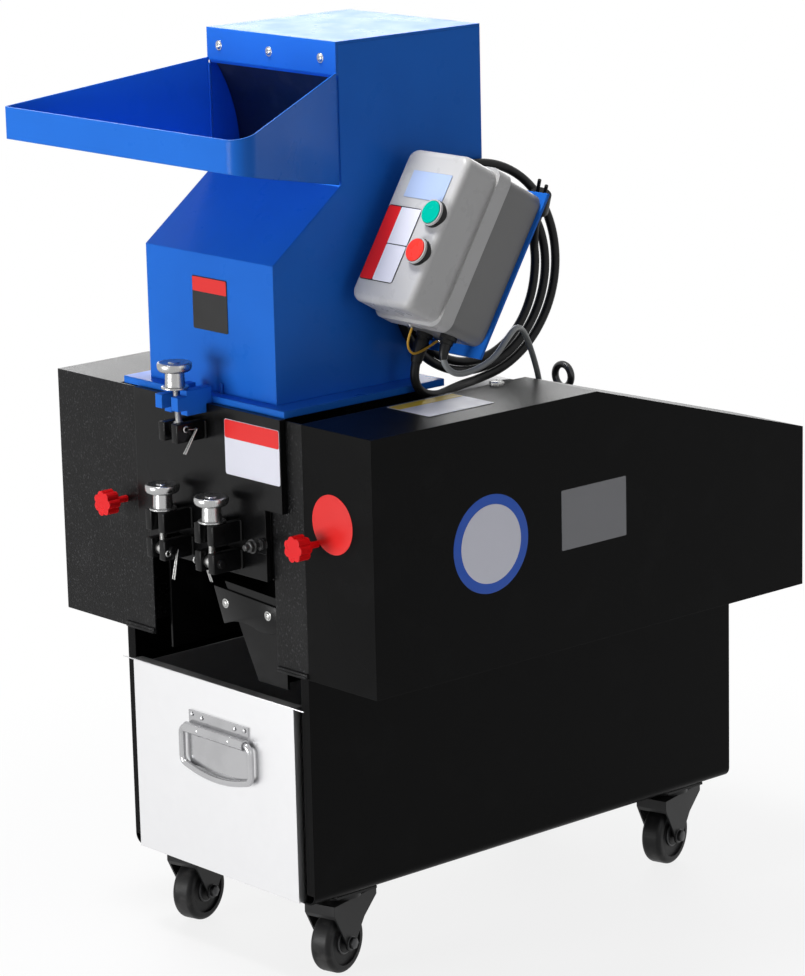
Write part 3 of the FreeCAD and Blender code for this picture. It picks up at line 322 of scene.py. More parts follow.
powder_coat("black textured coat", (0.0022, 0.0022, 0.0023), 0.3, 0.35, 900.0, 0.03, 0.05)
# only the front coat has the painted glints on its crests
powder_coat("black front coat", (0.0050, 0.0050, 0.0052), 0.32, 1.0, 430.0, 0.10, 0.12, 0.7)
powder_coat("black chamber paint", (0.0038, 0.0038, 0.0040), 0.26, 0.25, 260.0, 0.15, 0.16)
powder_coat("black caster coat", (0.007, 0.007, 0.0073), 0.36, 0.3, 700.0, 0.3, 0.25)
powder_coat("motor paint", (0.02, 0.02, 0.023), 0.35, 0.35, 500.0, 0.3)
powder_coat("blackened steel", (0.018, 0.018, 0.018), 0.32, 0.2, 500.0, 0.15)
print("black finishes:", len(finishes))

# %% [markdown]
# The hopper is sprayed blue enamel over folded sheet. Enamel is glossy but never quite flat: it has a
# faint orange peel, and the sheet beneath is slightly wavy, so reflections wander. Two noises of
# different size, one for each, give that, and a thin clear coat carries the sharp highlights.

# %% Blue enamel
BLUE = (0.017, 0.158, 0.66)
DEEP_BLUE = (0.015, 0.140, 0.60)
enamel = Finish("blue enamel", BLUE, 0.3, Specular_IOR_Level=0.055, Coat_Weight=0.03, Coat_Roughness=0.06)
peel = enamel.noise(240.0, 2.0)
waves = enamel.noise(6.0, 2.0, 0.4)
enamel.feed("Base Color", enamel.mixed(enamel.ramp(enamel.noise(5.0, 3.0), 0.35, 0.7), BLUE, DEEP_BLUE))
enamel.feed("Roughness", enamel.ramp(enamel.noise(30.0, 4.0), 0.3, 0.7, 0.27, 0.33))
enamel.relief(waves + peel * 0.03, 0.05, 0.004, 0.0026)
print("blue enamel is ready")

# %% [markdown]
# Bright metal is told apart by its lines. The bin front is brushed sheet, so its noise is drawn out
# along X until it is all fine lines. The nuts and the handle are plated and polished, which leaves
# only faint clouds, and the bolts are duller zinc.

# %% Bright metals
def bright_metal(name, colour, roughness, spread, stretch, size, strength, dull=0.9):
    finish = Finish(name, colour, roughness, 1.0)
    lines = finish.noise(size, 4.0, 0.6, finish.place(stretch))
    clouds = finish.noise(22.0, 4.0)
    finish.feed("Roughness", finish.ramp(lines + clouds, 0.7, 1.3, roughness - spread, roughness + spread))
    finish.feed("Base Color", finish.mixed(finish.ramp(clouds, 0.4, 0.7), colour, [c * dull for c in colour]))
    finish.relief(lines, strength, 0.0003, 0.0006)


bright_metal("brushed stainless", (0.80, 0.80, 0.81), 0.34, 0.02, (0.02, 1, 1), 900.0, 0.03, 0.97)
bright_metal("bin steel", (0.55, 0.55, 0.56), 0.38, 0.06, (1, 0.03, 1), 800.0, 0.15)
bright_metal("polished chrome", (0.50, 0.50, 0.51), 0.16, 0.06, (1, 1, 1), 300.0, 0.05)
bright_metal("turned steel", (0.42, 0.42, 0.42), 0.27, 0.06, (1, 1, 0.03), 900.0, 0.2)
bright_metal("zinc plate", (0.50, 0.50, 0.49), 0.28, 0.06, (1, 1, 1), 400.0, 0.15)
print("metals are ready")

# %% [markdown]
# Rubber, cable jackets and moulded plastics are not metals, and differ mostly in gloss. The cable's
# jacket is smooth with faint marks, the feed flap is matt, and the tyres are in between.

# %% Rubbers and plastics
PALE_DUST = (0.3, 0.29, 0.28)


def moulded(name, colour, roughness, grain, strength, dust=0.0, shine=0.2):
    finish = Finish(name, colour, roughness, Specular_IOR_Level=shine)
    clouds = finish.noise(40.0, 4.0)
    finish.feed("Roughness", finish.ramp(clouds, 0.3, 0.7, roughness - 0.05, roughness + 0.07))
    finish.feed("Base Color", finish.mixed(finish.ramp(clouds, 0.5, 0.72) * dust, colour, PALE_DUST))
    finish.relief(finish.noise(grain, 2.0), strength, 0.0003, 0.0008)


moulded("cable rubber", (0.007, 0.007, 0.0072), 0.42, 900.0, 0.2, 0.05)
moulded("flap rubber", (0.012, 0.016, 0.036), 0.5, 500.0, 0.3, 0.04)
moulded("tyre rubber", (0.010, 0.010, 0.0105), 0.45, 700.0, 0.3, 0.12)
moulded("grey jacket", (0.30, 0.31, 0.31), 0.4, 700.0, 0.15, 0.1)
moulded("grey cast paint", (0.52, 0.515, 0.51), 0.3, 420.0, 0.12, 0.0, 0.3)
# painted shade: the box's base wears the lid's grey made darker, to stand in for the shade on its side
moulded("grey paint in painted shade", (0.225, 0.223, 0.22), 0.36, 420.0, 0.12, 0.0, 0.2)
moulded("green plastic", (0.0, 0.42, 0.31), 0.25, 300.0, 0.05)
moulded("red plastic", (0.86, 0.045, 0.03), 0.25, 300.0, 0.05)
moulded("knob red", (0.74, 0.008, 0.011), 0.3, 500.0, 0.15)
moulded("black plastic", (0.008, 0.008, 0.0085), 0.3, 600.0, 0.15)
print("rubbers and plastics are ready")

# %% [markdown]
# Signs and plates are printed sheet or anodised metal. Print has an even gloss, so only a faint change
# of roughness and a very fine grain tell it from the paint around it.

# %% Printed sheet
# The pale start and stop colours are painted highlights for the rims of the button caps.
sheets = {"sign white": (0.76, 0.76, 0.84), "sign red": (0.80, 0.018, 0.016), "sign black": (0.006, 0.006, 0.006),
          "sign yellow": (0.80, 0.55, 0.02), "sign blue": (0.015, 0.10, 0.55), "plate grey": (0.22, 0.22, 0.23),
          "plate blue": (0.40, 0.50, 0.72), "start painted highlight": (0.25, 0.78, 0.66), "stop painted highlight": (0.95, 0.30, 0.25),
          "wire yellow": (0.75, 0.42, 0.05), "dull grey": (0.09, 0.09, 0.092)}
for name, colour in sheets.items():
    moulded(name, colour, 0.35, 1500.0, 0.05, 0.0, 0.3)
print("finishes:", len(finishes))

# %% [markdown]
# Each node of the frame now gets the finish of its real piece through its own material slot. One table
# says which node wears what, so that none is forgotten.

# %% Put the finishes on the frame's nodes
wears = {
    "black textured coat": ["cabinet_shell", "motor_deck", "belt_guard"],
    "black front coat": ["flywheel_cover", "cheek_left", "cheek_right"],
    "black chamber paint": ["chamber_body", "chamber_front", "screen_frame", "discharge_chute", "pivot_lugs"],
    "blue enamel": ["hopper_body", "hopper_flange", "hopper_lid", "feed_scoop", "starter_bracket"],
    "flap rubber": ["feed_curtain"],
    "polished chrome": ["clamp_nuts", "handle_plate", "handle_bail"],
    "zinc plate": ["swing_bolts"],
    "brushed stainless": ["bin_front"],
    "bin steel": ["bin_body"],
    "black caster coat": ["caster_plates"] + [n for n in nodes if n.startswith("caster_fork")],
    "tyre rubber": [n for n in nodes if n.startswith("caster_wheel")],
    "grey cast paint": ["starter_lid"],
    # the starter base's darker grey is painted shade
    "grey paint in painted shade": ["starter_base"],
    "green plastic": ["start_button"],
    "red plastic": ["stop_button"],
    "knob red": ["star_knobs"],
    "motor paint": ["motor"],
    "blackened steel": ["eye_bolt"],
    "cable rubber": ["mains_plug", "cable_glands"],
}
for name, worn_by in wears.items():
    for node in worn_by:
        nodes[node].data.materials.clear()
        nodes[node].data.materials.append(finishes[name])
bare = sorted(set(nodes) - {n for worn_by in wears.values() for n in worn_by})
supply.data.materials.append(finishes["cable rubber"])
lead.data.materials.append(finishes["grey jacket"])
print("nodes with no finish of their own:", bare)

# %% [markdown]
# Every new piece is begun as a primitive and shaped in edit mode, as it would be by hand. A few short
# helpers take care of what is the same each time: nothing else may be selected when a piece is begun,
# its faces are chosen in code by the way they face, and once it is done its place is moved into its
# mesh, so that the object itself sits at the origin, unturned, and rides on its body.

# %% Helpers for modelling by hand
FORWARD = Vector((0, -1, 0))
RIGHT = Vector((1, 0, 0))
UP = Vector((0, 0, 1))
SHARP = math.radians(35)
ZINC = ("zinc plate", "zinc_steel")
CHAMBER = ("black chamber paint", "black_gloss")
HOPPER = ("blue enamel", "blue_gloss")
MOTOR = ("motor paint", "motor_paint")


def alone(piece):
    """Selects one piece and nothing else."""
    bpy.ops.object.select_all(action="DESELECT")
    piece.select_set(True)
    bpy.context.view_layer.objects.active = piece


def begin(add, location=(0, 0, 0), **settings):
    """Adds a primitive with nothing else selected."""
    bpy.ops.object.select_all(action="DESELECT")
    add(location=location, **settings)
    return bpy.context.active_object


def cylinder(radius, low, high, sides):
    """An upright cylinder from one height to another."""
    return begin(bpy.ops.mesh.primitive_cylinder_add, (0, 0, (low + high) / 2), vertices=sides, radius=radius,
                 depth=high - low)


def faces_up(normal):
    return normal.z > 0.9


def choose(piece, test=lambda normal: True):
    """Goes into edit mode with the faces whose normal passes a test."""
    bpy.ops.object.mode_set(mode="EDIT")
    bpy.ops.mesh.select_mode(type="FACE")
    bpy.ops.mesh.select_all(action="DESELECT")
    mesh = bmesh.from_edit_mesh(piece.data)
    mesh.normal_update()
    for face in mesh.faces:
        if test(face.normal):
            face.select_set(True)
    mesh.select_flush_mode()
    bmesh.update_edit_mesh(piece.data)


def move(x=0, y=0, z=0):
    """Moves the chosen faces."""
    bpy.ops.transform.translate(value=(x, y, z))


def draw_out(x=0, y=0, z=0):
    """Draws the chosen faces out into new ones."""
    bpy.ops.mesh.extrude_region_move(TRANSFORM_OT_translate={"value": (x, y, z)})


def leave():
    bpy.ops.object.mode_set(mode="OBJECT")


def leave_closed():
    """Turns all faces outwards and leaves edit mode."""
    bpy.ops.mesh.select_all(action="SELECT")
    bpy.ops.mesh.normals_make_consistent(inside=False)
    leave()


def bevelled(piece, width, segments=2):
    """Rounds a piece's sharp edges with a modifier and applies it."""
    bpy.context.view_layer.objects.active = piece
    bevel = piece.modifiers.new("bevel", "BEVEL")
    bevel.width = width
    bevel.segments = segments
    bevel.limit_method = "ANGLE"
    bevel.angle_limit = SHARP
    bpy.ops.object.modifier_apply(modifier=bevel.name)
    return piece


def finish_piece(piece, name, finish, slot, body="machine", smooth=40):
    """Moves the piece's place into its mesh, dresses it and lets it ride on its body."""
    alone(piece)
    bpy.ops.object.transform_apply(location=True, rotation=True, scale=True)
    bpy.ops.object.shade_smooth_by_angle(angle=math.radians(smooth))
    piece.name = piece.data.name = name
    piece.data.materials.clear()
    piece.data.materials.append(finishes[finish])
    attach(piece, body)
    return piece


def copied(pattern, place, turn=None):
    """A copy with its own mesh, set at a place before that is moved into the mesh."""
    copy = placed(pattern.name, pattern.data.copy())
    copy.matrix_world = Matrix.Translation(place) @ (turn or Matrix.Identity(4))
    return copy


def joined(pieces):
    """One object made of several."""
    bpy.ops.object.select_all(action="DESELECT")
    for piece in pieces:
        piece.select_set(True)
    bpy.context.view_layer.objects.active = pieces[0]
    if len(pieces) > 1:
        bpy.ops.object.join()
    return pieces[0]


def facing(direction, roll=0.0):
    """A turn that takes a piece's Z axis to a direction."""
    return Vector(direction).to_track_quat("Z", "Y").to_matrix().to_4x4() @ Matrix.Rotation(roll, 4, "Z")


def set_facing(piece, place, direction, roll=0.0):
    """Sets a piece at a place with its Z axis in a direction."""
    piece.matrix_world = Matrix.Translation(Vector(place)) @ facing(direction, roll)
    return piece


print("helpers are ready")

# %% [markdown]
# The small screws of the lid, the chute and the box are pan heads with a recess on a thin washer. A
# cylinder's top is inset and drawn up in two steps for the dome, and the recess is one more inset
# pushed in. It is modelled once, lying on the floor, and every screw is a copy. Hexagon heads are made
# alike, with six sides and a chamfer.

# %% Screw and bolt heads
SCREW_TURN = 0.6


def pan_head(radius, height):
    head = cylinder(radius, 0, height * 0.4, 24)
    choose(head, faces_up)
    for inwards, upwards in ((0.12, 0.3), (0.3, 0.2), (0.2, 0), (0.1, -0.35)):
        bpy.ops.mesh.inset(thickness=radius * inwards)
        if upwards:
            move(z=height * upwards)
    leave()
    return joined([head, bevelled(cylinder(radius * 1.35, 0, 0.0008, 28), 0.0002, 1)])


def hex_head(across, height, washer=1.25):
    """A hexagon head with a chamfered top on its washer."""
    head = cylinder(across / math.sqrt(3), 0.001, height + 0.001, 6)
    choose(head, faces_up)
    bpy.ops.mesh.inset(thickness=across * 0.07)
    move(z=height * 0.12)
    leave()
    bevelled(head, 0.0003)
    return joined([head, bevelled(cylinder(across / 2 * washer * 1.12, 0, 0.0012, 32), 0.0002, 1)])


def dot_row(pattern, name, places, direction, finish, slot, body="machine"):
    """One piece made of copies of a pattern, all facing the same way."""
    made = [copied(pattern, Vector(place), facing(direction, SCREW_TURN * i)) for i, place in enumerate(places)]
    return finish_piece(joined(made), name, finish, slot, body)


small_pan = pan_head(0.0042, 0.0026)
bolt_head = hex_head(0.013, 0.0055)
lid_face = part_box("hopper_lid")[0].y
dot_row(small_pan, "lid_screws", [(x, lid_face, 1.0515) for x in (-0.1006, -0.0108, 0.0791)], FORWARD, *ZINC)
print("lid screws at y %.4f" % lid_face)

# %% [markdown]
# The signs on the machine are thin printed sheets and plates stuck or screwed on. They stay bare here.
# Each one is a plane that is cut to size, its corners rounded with a vertex bevel, and given its
# thickness with an extrude, so that its edge catches a little light and lifts it off the paint.

# %% Bare plates
def plate(name, corners, outward, rounding, thick, finish, slot, lift=0.0002):
    """A thin plate on four corners, given in order, that stands off its wall by a lift."""
    middle = sum((Vector(c) for c in corners), Vector()) / 4
    outward = Vector(outward).normalized()
    piece = begin(bpy.ops.mesh.primitive_plane_add, size=2)
    for vertex, corner in zip(piece.data.vertices, (corners[0], corners[1], corners[3], corners[2])):
        vertex.co = Vector(corner) - middle
    choose(piece)
    bpy.ops.mesh.select_mode(type="VERT")
    bpy.ops.mesh.bevel(offset=rounding, segments=5, affect="VERTICES")
    bpy.ops.mesh.select_all(action="SELECT")
    draw_out(*(outward * thick))
    leave_closed()
    piece.location = middle + outward * lift
    return finish_piece(piece, name, finish, slot, smooth=30)


def oblong(a0, a1, b0, b1):
    """The four corners of an oblong in its own plane, in order."""
    return (a0, b0), (a1, b0), (a1, b1), (a0, b1)


chamber_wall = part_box("chamber_front")[0].y
hopper_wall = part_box("hopper_body")[0].y
for name, wall, slot, spans, rounding, thick, finish, lift in (
        ("chamber_sign", chamber_wall, "black_gloss", (0.041, 0.137, 0.591, 0.655), 0.003, 0.0005,
         "sign white", 0.0002),
        ("chamber_sign_head", chamber_wall, "black_gloss", (0.0415, 0.1365, 0.6335, 0.6545), 0.0027, 0.0002,
         "sign red", 0.0007),
        ("hopper_plate", hopper_wall, "blue_gloss", (-0.038, 0.024, 0.745, 0.806), 0.002, 0.0006,
         "sign black", 0.0002),
        ("hopper_plate_head", hopper_wall, "blue_gloss", (-0.0372, 0.0232, 0.7885, 0.8052), 0.0015, 0.0002,
         "sign red", 0.0008)):
    plate(name, [(x, wall, z) for x, z in oblong(*spans)], FORWARD, rounding, thick, finish, slot, lift)
guard_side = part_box("belt_guard")[1].x
guard_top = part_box("belt_guard")[1].z
plate("guard_plate", [(guard_side, y, z) for y, z in oblong(-0.006, 0.097, 0.488, 0.5586)], RIGHT, 0.0015,
      0.0008, "plate grey", "black_textured", -0.0004)
plate("guard_top_sign", [(x, y, guard_top) for x, y in oblong(0.170, 0.242, -0.168, -0.069)], UP, 0.002,
      0.0004, "sign white", "black_textured")
plate("guard_top_band", [(x, y, guard_top) for x, y in oblong(0.172, 0.190, -0.167, -0.070)], UP, 0.001,
      0.0002, "sign yellow", "black_textured", 0.0006)
print("plates on chamber, hopper and guard")

# %% [markdown]
# Two of the signs are round. A cylinder of many sides gives the disc, its face is inset once for a rim
# that is drawn up a hair, and for the blue ring a second, wider disc lies under the white one.

# %% Round signs
def disc(name, centre, outward, radius, thick, finish):
    piece = cylinder(radius, 0, thick, 72)
    choose(piece, faces_up)
    bpy.ops.mesh.inset(thickness=radius * 0.04)
    move(z=thick * 0.2)
    leave()
    return finish_piece(set_facing(piece, centre, outward), name, finish, "black_textured")


cheek_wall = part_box("cheek_right")[0].y
disc("cheek_sign", (0.2148, cheek_wall - 0.0002, 0.5593), FORWARD, 0.034, 0.0006, "sign red")
disc("guard_ring", (guard_side - 0.0003, -0.1155, 0.517), RIGHT, 0.057, 0.0006, "sign blue")
disc("guard_disc", (guard_side + 0.00025, -0.1155, 0.517), RIGHT, 0.0455, 0.0003, "sign white")
print("round signs")

# %% [markdown]
# The starter box stands on a slope, so its parts are placed in its own frame: x across, s up the slope
# and a third length out of the box. A small function turns such a place into the machine's frame.

# %% Places on the starter's slope
TILT = math.radians(29)
SLOPE_FOOT = Vector((0, -0.066, 0.675))
SLOPE_UP = Vector((0, math.sin(TILT), math.cos(TILT)))
SLOPE_OUT = Vector((0, -math.cos(TILT), math.sin(TILT)))
LID_FACE = 0.1545
LID_FOOT = 0.038
LEAN = 0.061


def on_slope(across, rise, out):
    """A point across the box, up its slope and out from the hopper's foot."""
    return SLOPE_FOOT + Vector((across, 0, 0)) + SLOPE_UP * rise + SLOPE_OUT * out


for name, spans, rounding, thick, finish, lift in (
        ("starter_plate", (0.1447, 0.2085, 0.1680, 0.2000), 0.0008, 0.0004, "plate blue", 0.0002),
        ("starter_frame", (0.1278, 0.1830, 0.0665, 0.1565), 0.004, 0.0003, "sign black", 0.0002),
        ("starter_strip", (0.1287, 0.1494, 0.0675, 0.1555), 0.003, 0.0002, "sign red", 0.0005),
        ("starter_panel_top", (0.1497, 0.1822, 0.1120, 0.1555), 0.001, 0.0002, "sign white", 0.0005),
        ("starter_panel_low", (0.1497, 0.1822, 0.0675, 0.1110), 0.002, 0.0002, "sign white", 0.0005)):
    corners = [on_slope(x + LEAN * (s - LID_FOOT), s, LID_FACE) for x, s in oblong(*spans)]
    plate(name, corners, SLOPE_OUT, rounding, thick, finish, "grey_cast", lift)
print("starter plates")

# %% [markdown]
# Each push button sits in a round black bezel, and a thin pale ring round its cap is a painted
# highlight of the cap's rim. The bezel is a cylinder whose ends are inset and bridged into a ring,
# and bevelled. The highlight ring is made alike, small and flat, and rides on the button, so that it
# goes in with it.

# %% Bezels and the buttons' painted highlight rings
def ring(name, inner, outer, low, high, origin, finish, slot, body, soft):
    """A ring whose axis leads out of the starter and whose ends are at two heights over an origin."""
    piece = cylinder(outer, low, high, 56)
    choose(piece, lambda normal: abs(normal.z) > 0.9)
    bpy.ops.mesh.inset(thickness=outer - inner)
    bpy.ops.mesh.bridge_edge_loops()
    leave()
    bevelled(piece, soft)
    return finish_piece(set_facing(piece, origin, SLOPE_OUT), name, finish, slot, body)


for word, across, rise, slot in (("start", 0.2133, 0.1531, "green_plastic"),
                                 ("stop", 0.2105, 0.1076, "red_plastic")):
    root = on_slope(across, rise, LID_FACE)
    ring(word + "_bezel", 0.0140, 0.0157, -0.0015, 0.0084, root, "black plastic", "grey_cast", "machine", 0.0008)
    # painted highlight: a pale ring stands in for the light on each cap's rim
    ring(word + "_cap_painted_highlight", 0.0118, 0.0128, 0.0088, 0.0094, root, word + " painted highlight", slot, word + "_plunger", 0.0002)
    print("bezel at", [round(v, 4) for v in root])

# %% [markdown]
# The three clamps are the machine's most particular parts, so their turned nuts are drawn anew with a
# bowl-shaped head, a thick stem and a wide foot. A circle is drawn out ring by ring with extrude and
# scale, which is how a turned part is made by hand, and the last ring is closed.

# %% Turned nuts
def turned(rings, sides=48):
    """A turned piece from radius and height pairs, drawn out of a circle in edit mode."""
    radius, height = rings[0]
    piece = begin(bpy.ops.mesh.primitive_circle_add, vertices=sides, radius=radius, fill_type="NGON")
    choose(piece)
    move(z=height)
    for wider, higher in rings[1:]:
        draw_out(z=higher - height)
        bpy.ops.transform.resize(value=(wider / radius, wider / radius, 1), center_override=(0, 0, higher))
        radius, height = wider, higher
    leave_closed()
    return piece


def millimetres(*pairs):
    return [(a / 1000, b / 1000) for a, b in pairs]


NUT_LINE = -0.326
nut = turned(millimetres((15.2, 0.3), (15.9, 0.8), (15.9, 2.3), (15.2, 2.8), (11.6, 2.9), (10.9, 19.6),
                         (15.6, 19.8), (17.6, 20.6), (19.2, 22.3), (19.9, 24.3), (20.0, 28.4), (19.7, 29.4),
                         (18.9, 30.2), (17.6, 30.5), (15.5, 30.3), (13.6, 29.7), (8.2, 29.5), (7.2, 29.6),
                         (6.8, 30.2), (5.0, 30.7), (2.0, 30.9)))
clamp_places = {"top": (-0.011, 0.686), "left": (-0.042, 0.540), "right": (0.047, 0.540)}
nuts = joined([copied(nut, (across, NUT_LINE, seat)) for across, seat in clamp_places.values()])
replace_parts(finish_piece(nuts, "turned_nuts", "turned steel", "chrome", smooth=50), "clamp_nuts")
print("nuts:", list(clamp_places))

# %% [markdown]
# Under each nut the black fork and the ears are pairs of thick cheeks with a narrow slot between them.
# The threaded rod shows only in the gap between fork and ears, and hangs on a cross pin, whose ends
# stand out of the ears. The rod's ridges are rings of the same turned kind. The top clamp's fork is on
# the hopper's flange, so only the two lower ones get one here.

# %% Cheeks, rods and pins
def block(low, high, soft, segments=2):
    """A block between two corners with its edges rounded."""
    low, high = Vector(low), Vector(high)
    piece = begin(bpy.ops.mesh.primitive_cube_add, (low + high) / 2, size=1, scale=high - low)
    bpy.ops.object.transform_apply(location=False, rotation=False, scale=True)
    return bevelled(piece, soft, segments)


def rod(start, end, radius, sides, soft=0.0):
    """A round bar from one point to another."""
    start, end = Vector(start), Vector(end)
    half = (end - start).length / 2
    piece = cylinder(radius, -half, half, sides)
    if soft:
        bevelled(piece, soft)
    alone(set_facing(piece, (start + end) / 2, end - start))
    bpy.ops.object.transform_apply(location=True, rotation=True, scale=True)
    return piece


WALL = -0.298
NOSE = -0.339
SLOT, SIDE = 0.0062, 0.0170
PITCH = 0.00075
clamp_ears = {"top": (0.626, 0.648), "left": (0.4835, 0.507), "right": (0.4835, 0.507)}
clamp_pins = {"top": (-0.322, 0.640), "left": (-0.328, 0.4947), "right": (-0.328, 0.4947)}
cheeks, pins, bolts = [], [], []
for word, (across, seat) in clamp_places.items():
    low, high = clamp_ears[word]
    foot = Vector((across, *clamp_pins[word]))
    head = Vector((across, NUT_LINE, seat + 0.02))
    for near, far in ((across - SIDE, across - SLOT), (across + SLOT, across + SIDE)):
        cheeks.append(block((near, NOSE, low), (far, WALL, high), 0.0012, 3))
        if word != "top":
            cheeks.append(block((near, NOSE, seat - 0.024), (far, WALL, seat), 0.0012, 3))
    pins.append(rod(foot - RIGHT * 0.0205, foot + RIGHT * 0.0205, 0.0052, 24, 0.0006))
    ridges = [(0.0041 if i % 2 else 0.0036, PITCH * i) for i in range(int((head - foot).length / PITCH))]
    bolts.append(set_facing(turned(ridges, 16), foot, head - foot))
    bolts.append(rod(foot - RIGHT * 0.0058, foot + RIGHT * 0.0058, 0.0078, 28, 0.0008))
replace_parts(finish_piece(joined(cheeks + pins), "clamp_ears", *CHAMBER), "pivot_lugs")
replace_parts(finish_piece(joined(bolts), "swing_rods", *ZINC, smooth=30), "swing_bolts")
print("ears and rods of", len(clamp_places), "clamps")

# %% [markdown]
# A cotter pin keeps each cross pin in place: an open ring in front and two bent legs behind. A torus
# and thin bars make it. The right-hand one sits on the far side, so only its legs' tips show.

# %% Cotter pins
PIN_WIRE = 0.0009


def cotter(name, ring_at, start, tip):
    ring_at, start, tip = Vector(ring_at), Vector(start), Vector(tip)
    loop = begin(bpy.ops.mesh.primitive_torus_add, major_radius=0.0032, minor_radius=PIN_WIRE,
                 major_segments=28, minor_segments=10)
    parts = [set_facing(loop, ring_at, RIGHT)]
    for shift, spread in ((-0.001, 1.0), (0.001, 2.4)):
        aside = RIGHT * shift
        inner = start + aside
        parts.append(rod(ring_at + (inner - ring_at) * 0.15 + aside * 0.5, inner, PIN_WIRE, 10))
        parts.append(begin(bpy.ops.mesh.primitive_uv_sphere_add, inner, segments=10, ring_count=8,
                           radius=PIN_WIRE))
        parts.append(rod(inner, tip + aside * spread, PIN_WIRE, 10))
    return finish_piece(joined(parts), name, *ZINC)


cotter("cotter_top", (0.0080, -0.3275, 0.6415), (0.0080, -0.3125, 0.6400), (0.0100, -0.3330, 0.6140))
cotter("cotter_left", (-0.0235, -0.3350, 0.4925), (-0.0235, -0.3215, 0.4950), (-0.0215, -0.3310, 0.4620))
cotter("cotter_right", (0.0285, -0.3365, 0.4950), (0.0285, -0.3220, 0.4860), (0.0300, -0.3165, 0.4660))
print("cotter pins")

# %% [markdown]
# The cheeks are welded to the wall, the fork to the flange, and the scoop to the hopper. A weld shows as
# a close row of small overlapping scales, so each seam is a row of flattened beads.

# %% Weld seams
BEAD_LEAN = math.radians(35)


def seam(name, place, low, high, size, paint):
    """An upright row of beads at a place in x and y."""
    start, end = Vector((*place, low)), Vector((*place, high))
    count = max(2, int((end - start).length / (size * 0.75)))
    bead = begin(bpy.ops.mesh.primitive_uv_sphere_add, segments=12, ring_count=8, radius=size)
    bead.scale = (1, 0.8, 0.6)
    bpy.ops.object.transform_apply(scale=True)
    aim = facing(end - start) @ Matrix.Rotation(BEAD_LEAN, 4, "X")
    beads = [copied(bead, start.lerp(end, i / count), aim) for i in range(count + 1)]
    bpy.data.objects.remove(bead)
    return finish_piece(joined(beads), name, *paint)


for word, (across, seat) in clamp_places.items():
    low, high = clamp_ears[word]
    edge = (across + SIDE + 0.0005, WALL - 0.001)
    seam("seam_" + word, edge, low + 0.002, high - 0.002, 0.0028, CHAMBER)
    if word != "top":
        seam("seam_fork_" + word, edge, seat - 0.022, seat - 0.001, 0.0028, CHAMBER)
seam("seam_hopper_fork", (0.0105, -0.2765), 0.667, 0.6855, 0.0024, HOPPER)
for word, across in {"left": -0.1200, "right": 0.1040}.items():
    seam("seam_scoop_" + word, (across, -0.1738), 0.9155, 1.0290, 0.0021, HOPPER)
print("weld seams")

# %% [markdown]
# Beside the right clamp a stud with two nuts stands out of the wall. Below it a thin black sheet with a
# wavy lower edge is screwed over the chute. Its outline is a circle's points moved to their places.

# %% Stud and chute sheet
STUD = Vector((0.1007, WALL, 0.519))
CHUTE_WALL = -0.2733
stud = [rod(STUD - FORWARD * 0.001, STUD + FORWARD * 0.026, 0.0036, 20, 0.0005)]
for out in (0.002, 0.0175):
    stud.append(set_facing(hex_head(0.012, 0.0045), STUD + FORWARD * out, FORWARD, out * 40))
finish_piece(joined(stud), "wall_stud", "blackened steel", "black_gloss")

outline = millimetres((-18, 445), (102, 438), (102, 412), (94, 408), (84, 405.5), (72, 404), (62, 404.5),
                      (52, 407), (42, 409), (30, 409.5), (18, 408), (8, 405), (-1, 402))
chute_sheet = begin(bpy.ops.mesh.primitive_circle_add, vertices=len(outline), radius=1, fill_type="NGON")
for vertex, (x, z) in zip(chute_sheet.data.vertices, outline):
    vertex.co = (x, CHUTE_WALL, z)
choose(chute_sheet)
draw_out(y=-0.0022)
leave_closed()
bevelled(chute_sheet, 0.0005)
finish_piece(chute_sheet, "chute_sheet", *CHAMBER, smooth=30)
spots = [(0.0029, CHUTE_WALL - 0.0022, 0.4269), (0.079, CHUTE_WALL - 0.0022, 0.4262)]
dot_row(small_pan, "chute_screws", spots, FORWARD, *ZINC)
print("stud, chute sheet and its screws")

# %% [markdown]
# Folded sheet has hems. The front strips of both cheeks end in a doubled hem, and the bin's front has a
# thin bright lip along its top that reaches past it on both sides.

# %% Hems and the bin's lip
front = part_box("cheek_left")[0].y
for word, x0, x1 in (("left", -0.1655, -0.1125), ("right", 0.1125, 0.1655)):
    hem = joined([block((x0, front - 0.0022, 0.3712), (x1, front - 0.0001, 0.3775), 0.0009),
                  block((x0 + 0.001, front - 0.0034, 0.3714), (x1 - 0.001, front - 0.0020, 0.3745), 0.0006)])
    finish_piece(hem, "hem_" + word, "black front coat", "black_textured")
lip = block((-0.1655, -0.2992, 0.3347), (0.1655, -0.2978, 0.3360), 0.0004)
finish_piece(lip, "bin_lip", "brushed stainless", "stainless", "bin")
print("hems and lip")

# %% [markdown]
# The bin's handle is held by four rivets above its knuckle, and two lugs of the plate are rolled round
# the wire. The rivets are low domes drawn out like the nuts.

# %% Handle rivets and knuckle
HANDLE_FACE = -0.3005
rivet = turned(millimetres((2.6, 0), (2.6, 0.5), (2.2, 1.0), (1.3, 1.35), (0.4, 1.45)), 20)
spots = [(x, HANDLE_FACE, z) for x, z in ((-0.036, 0.291), (-0.018, 0.2895), (0.042, 0.2895), (0.060, 0.291))]
dot_row(rivet, "handle_rivets", spots, FORWARD, "bin steel", "chrome", "bin")
wraps = [set_facing(bevelled(cylinder(0.0069, -0.00175, 0.00175, 32), 0.0006),
                    (across, HANDLE_FACE - 0.004, 0.2753), RIGHT) for across in (-0.0165, 0.0405)]
finish_piece(joined(wraps), "handle_wraps", "polished chrome", "chrome", "bin")
print("handle rivets")

# %% [markdown]
# Each wheel has a pressed bearing cover in its side, and the axle ends in a nut outside the fork's leg.
# Both are set on the wheel's axis, which the record gives, so that they turn with their bodies.

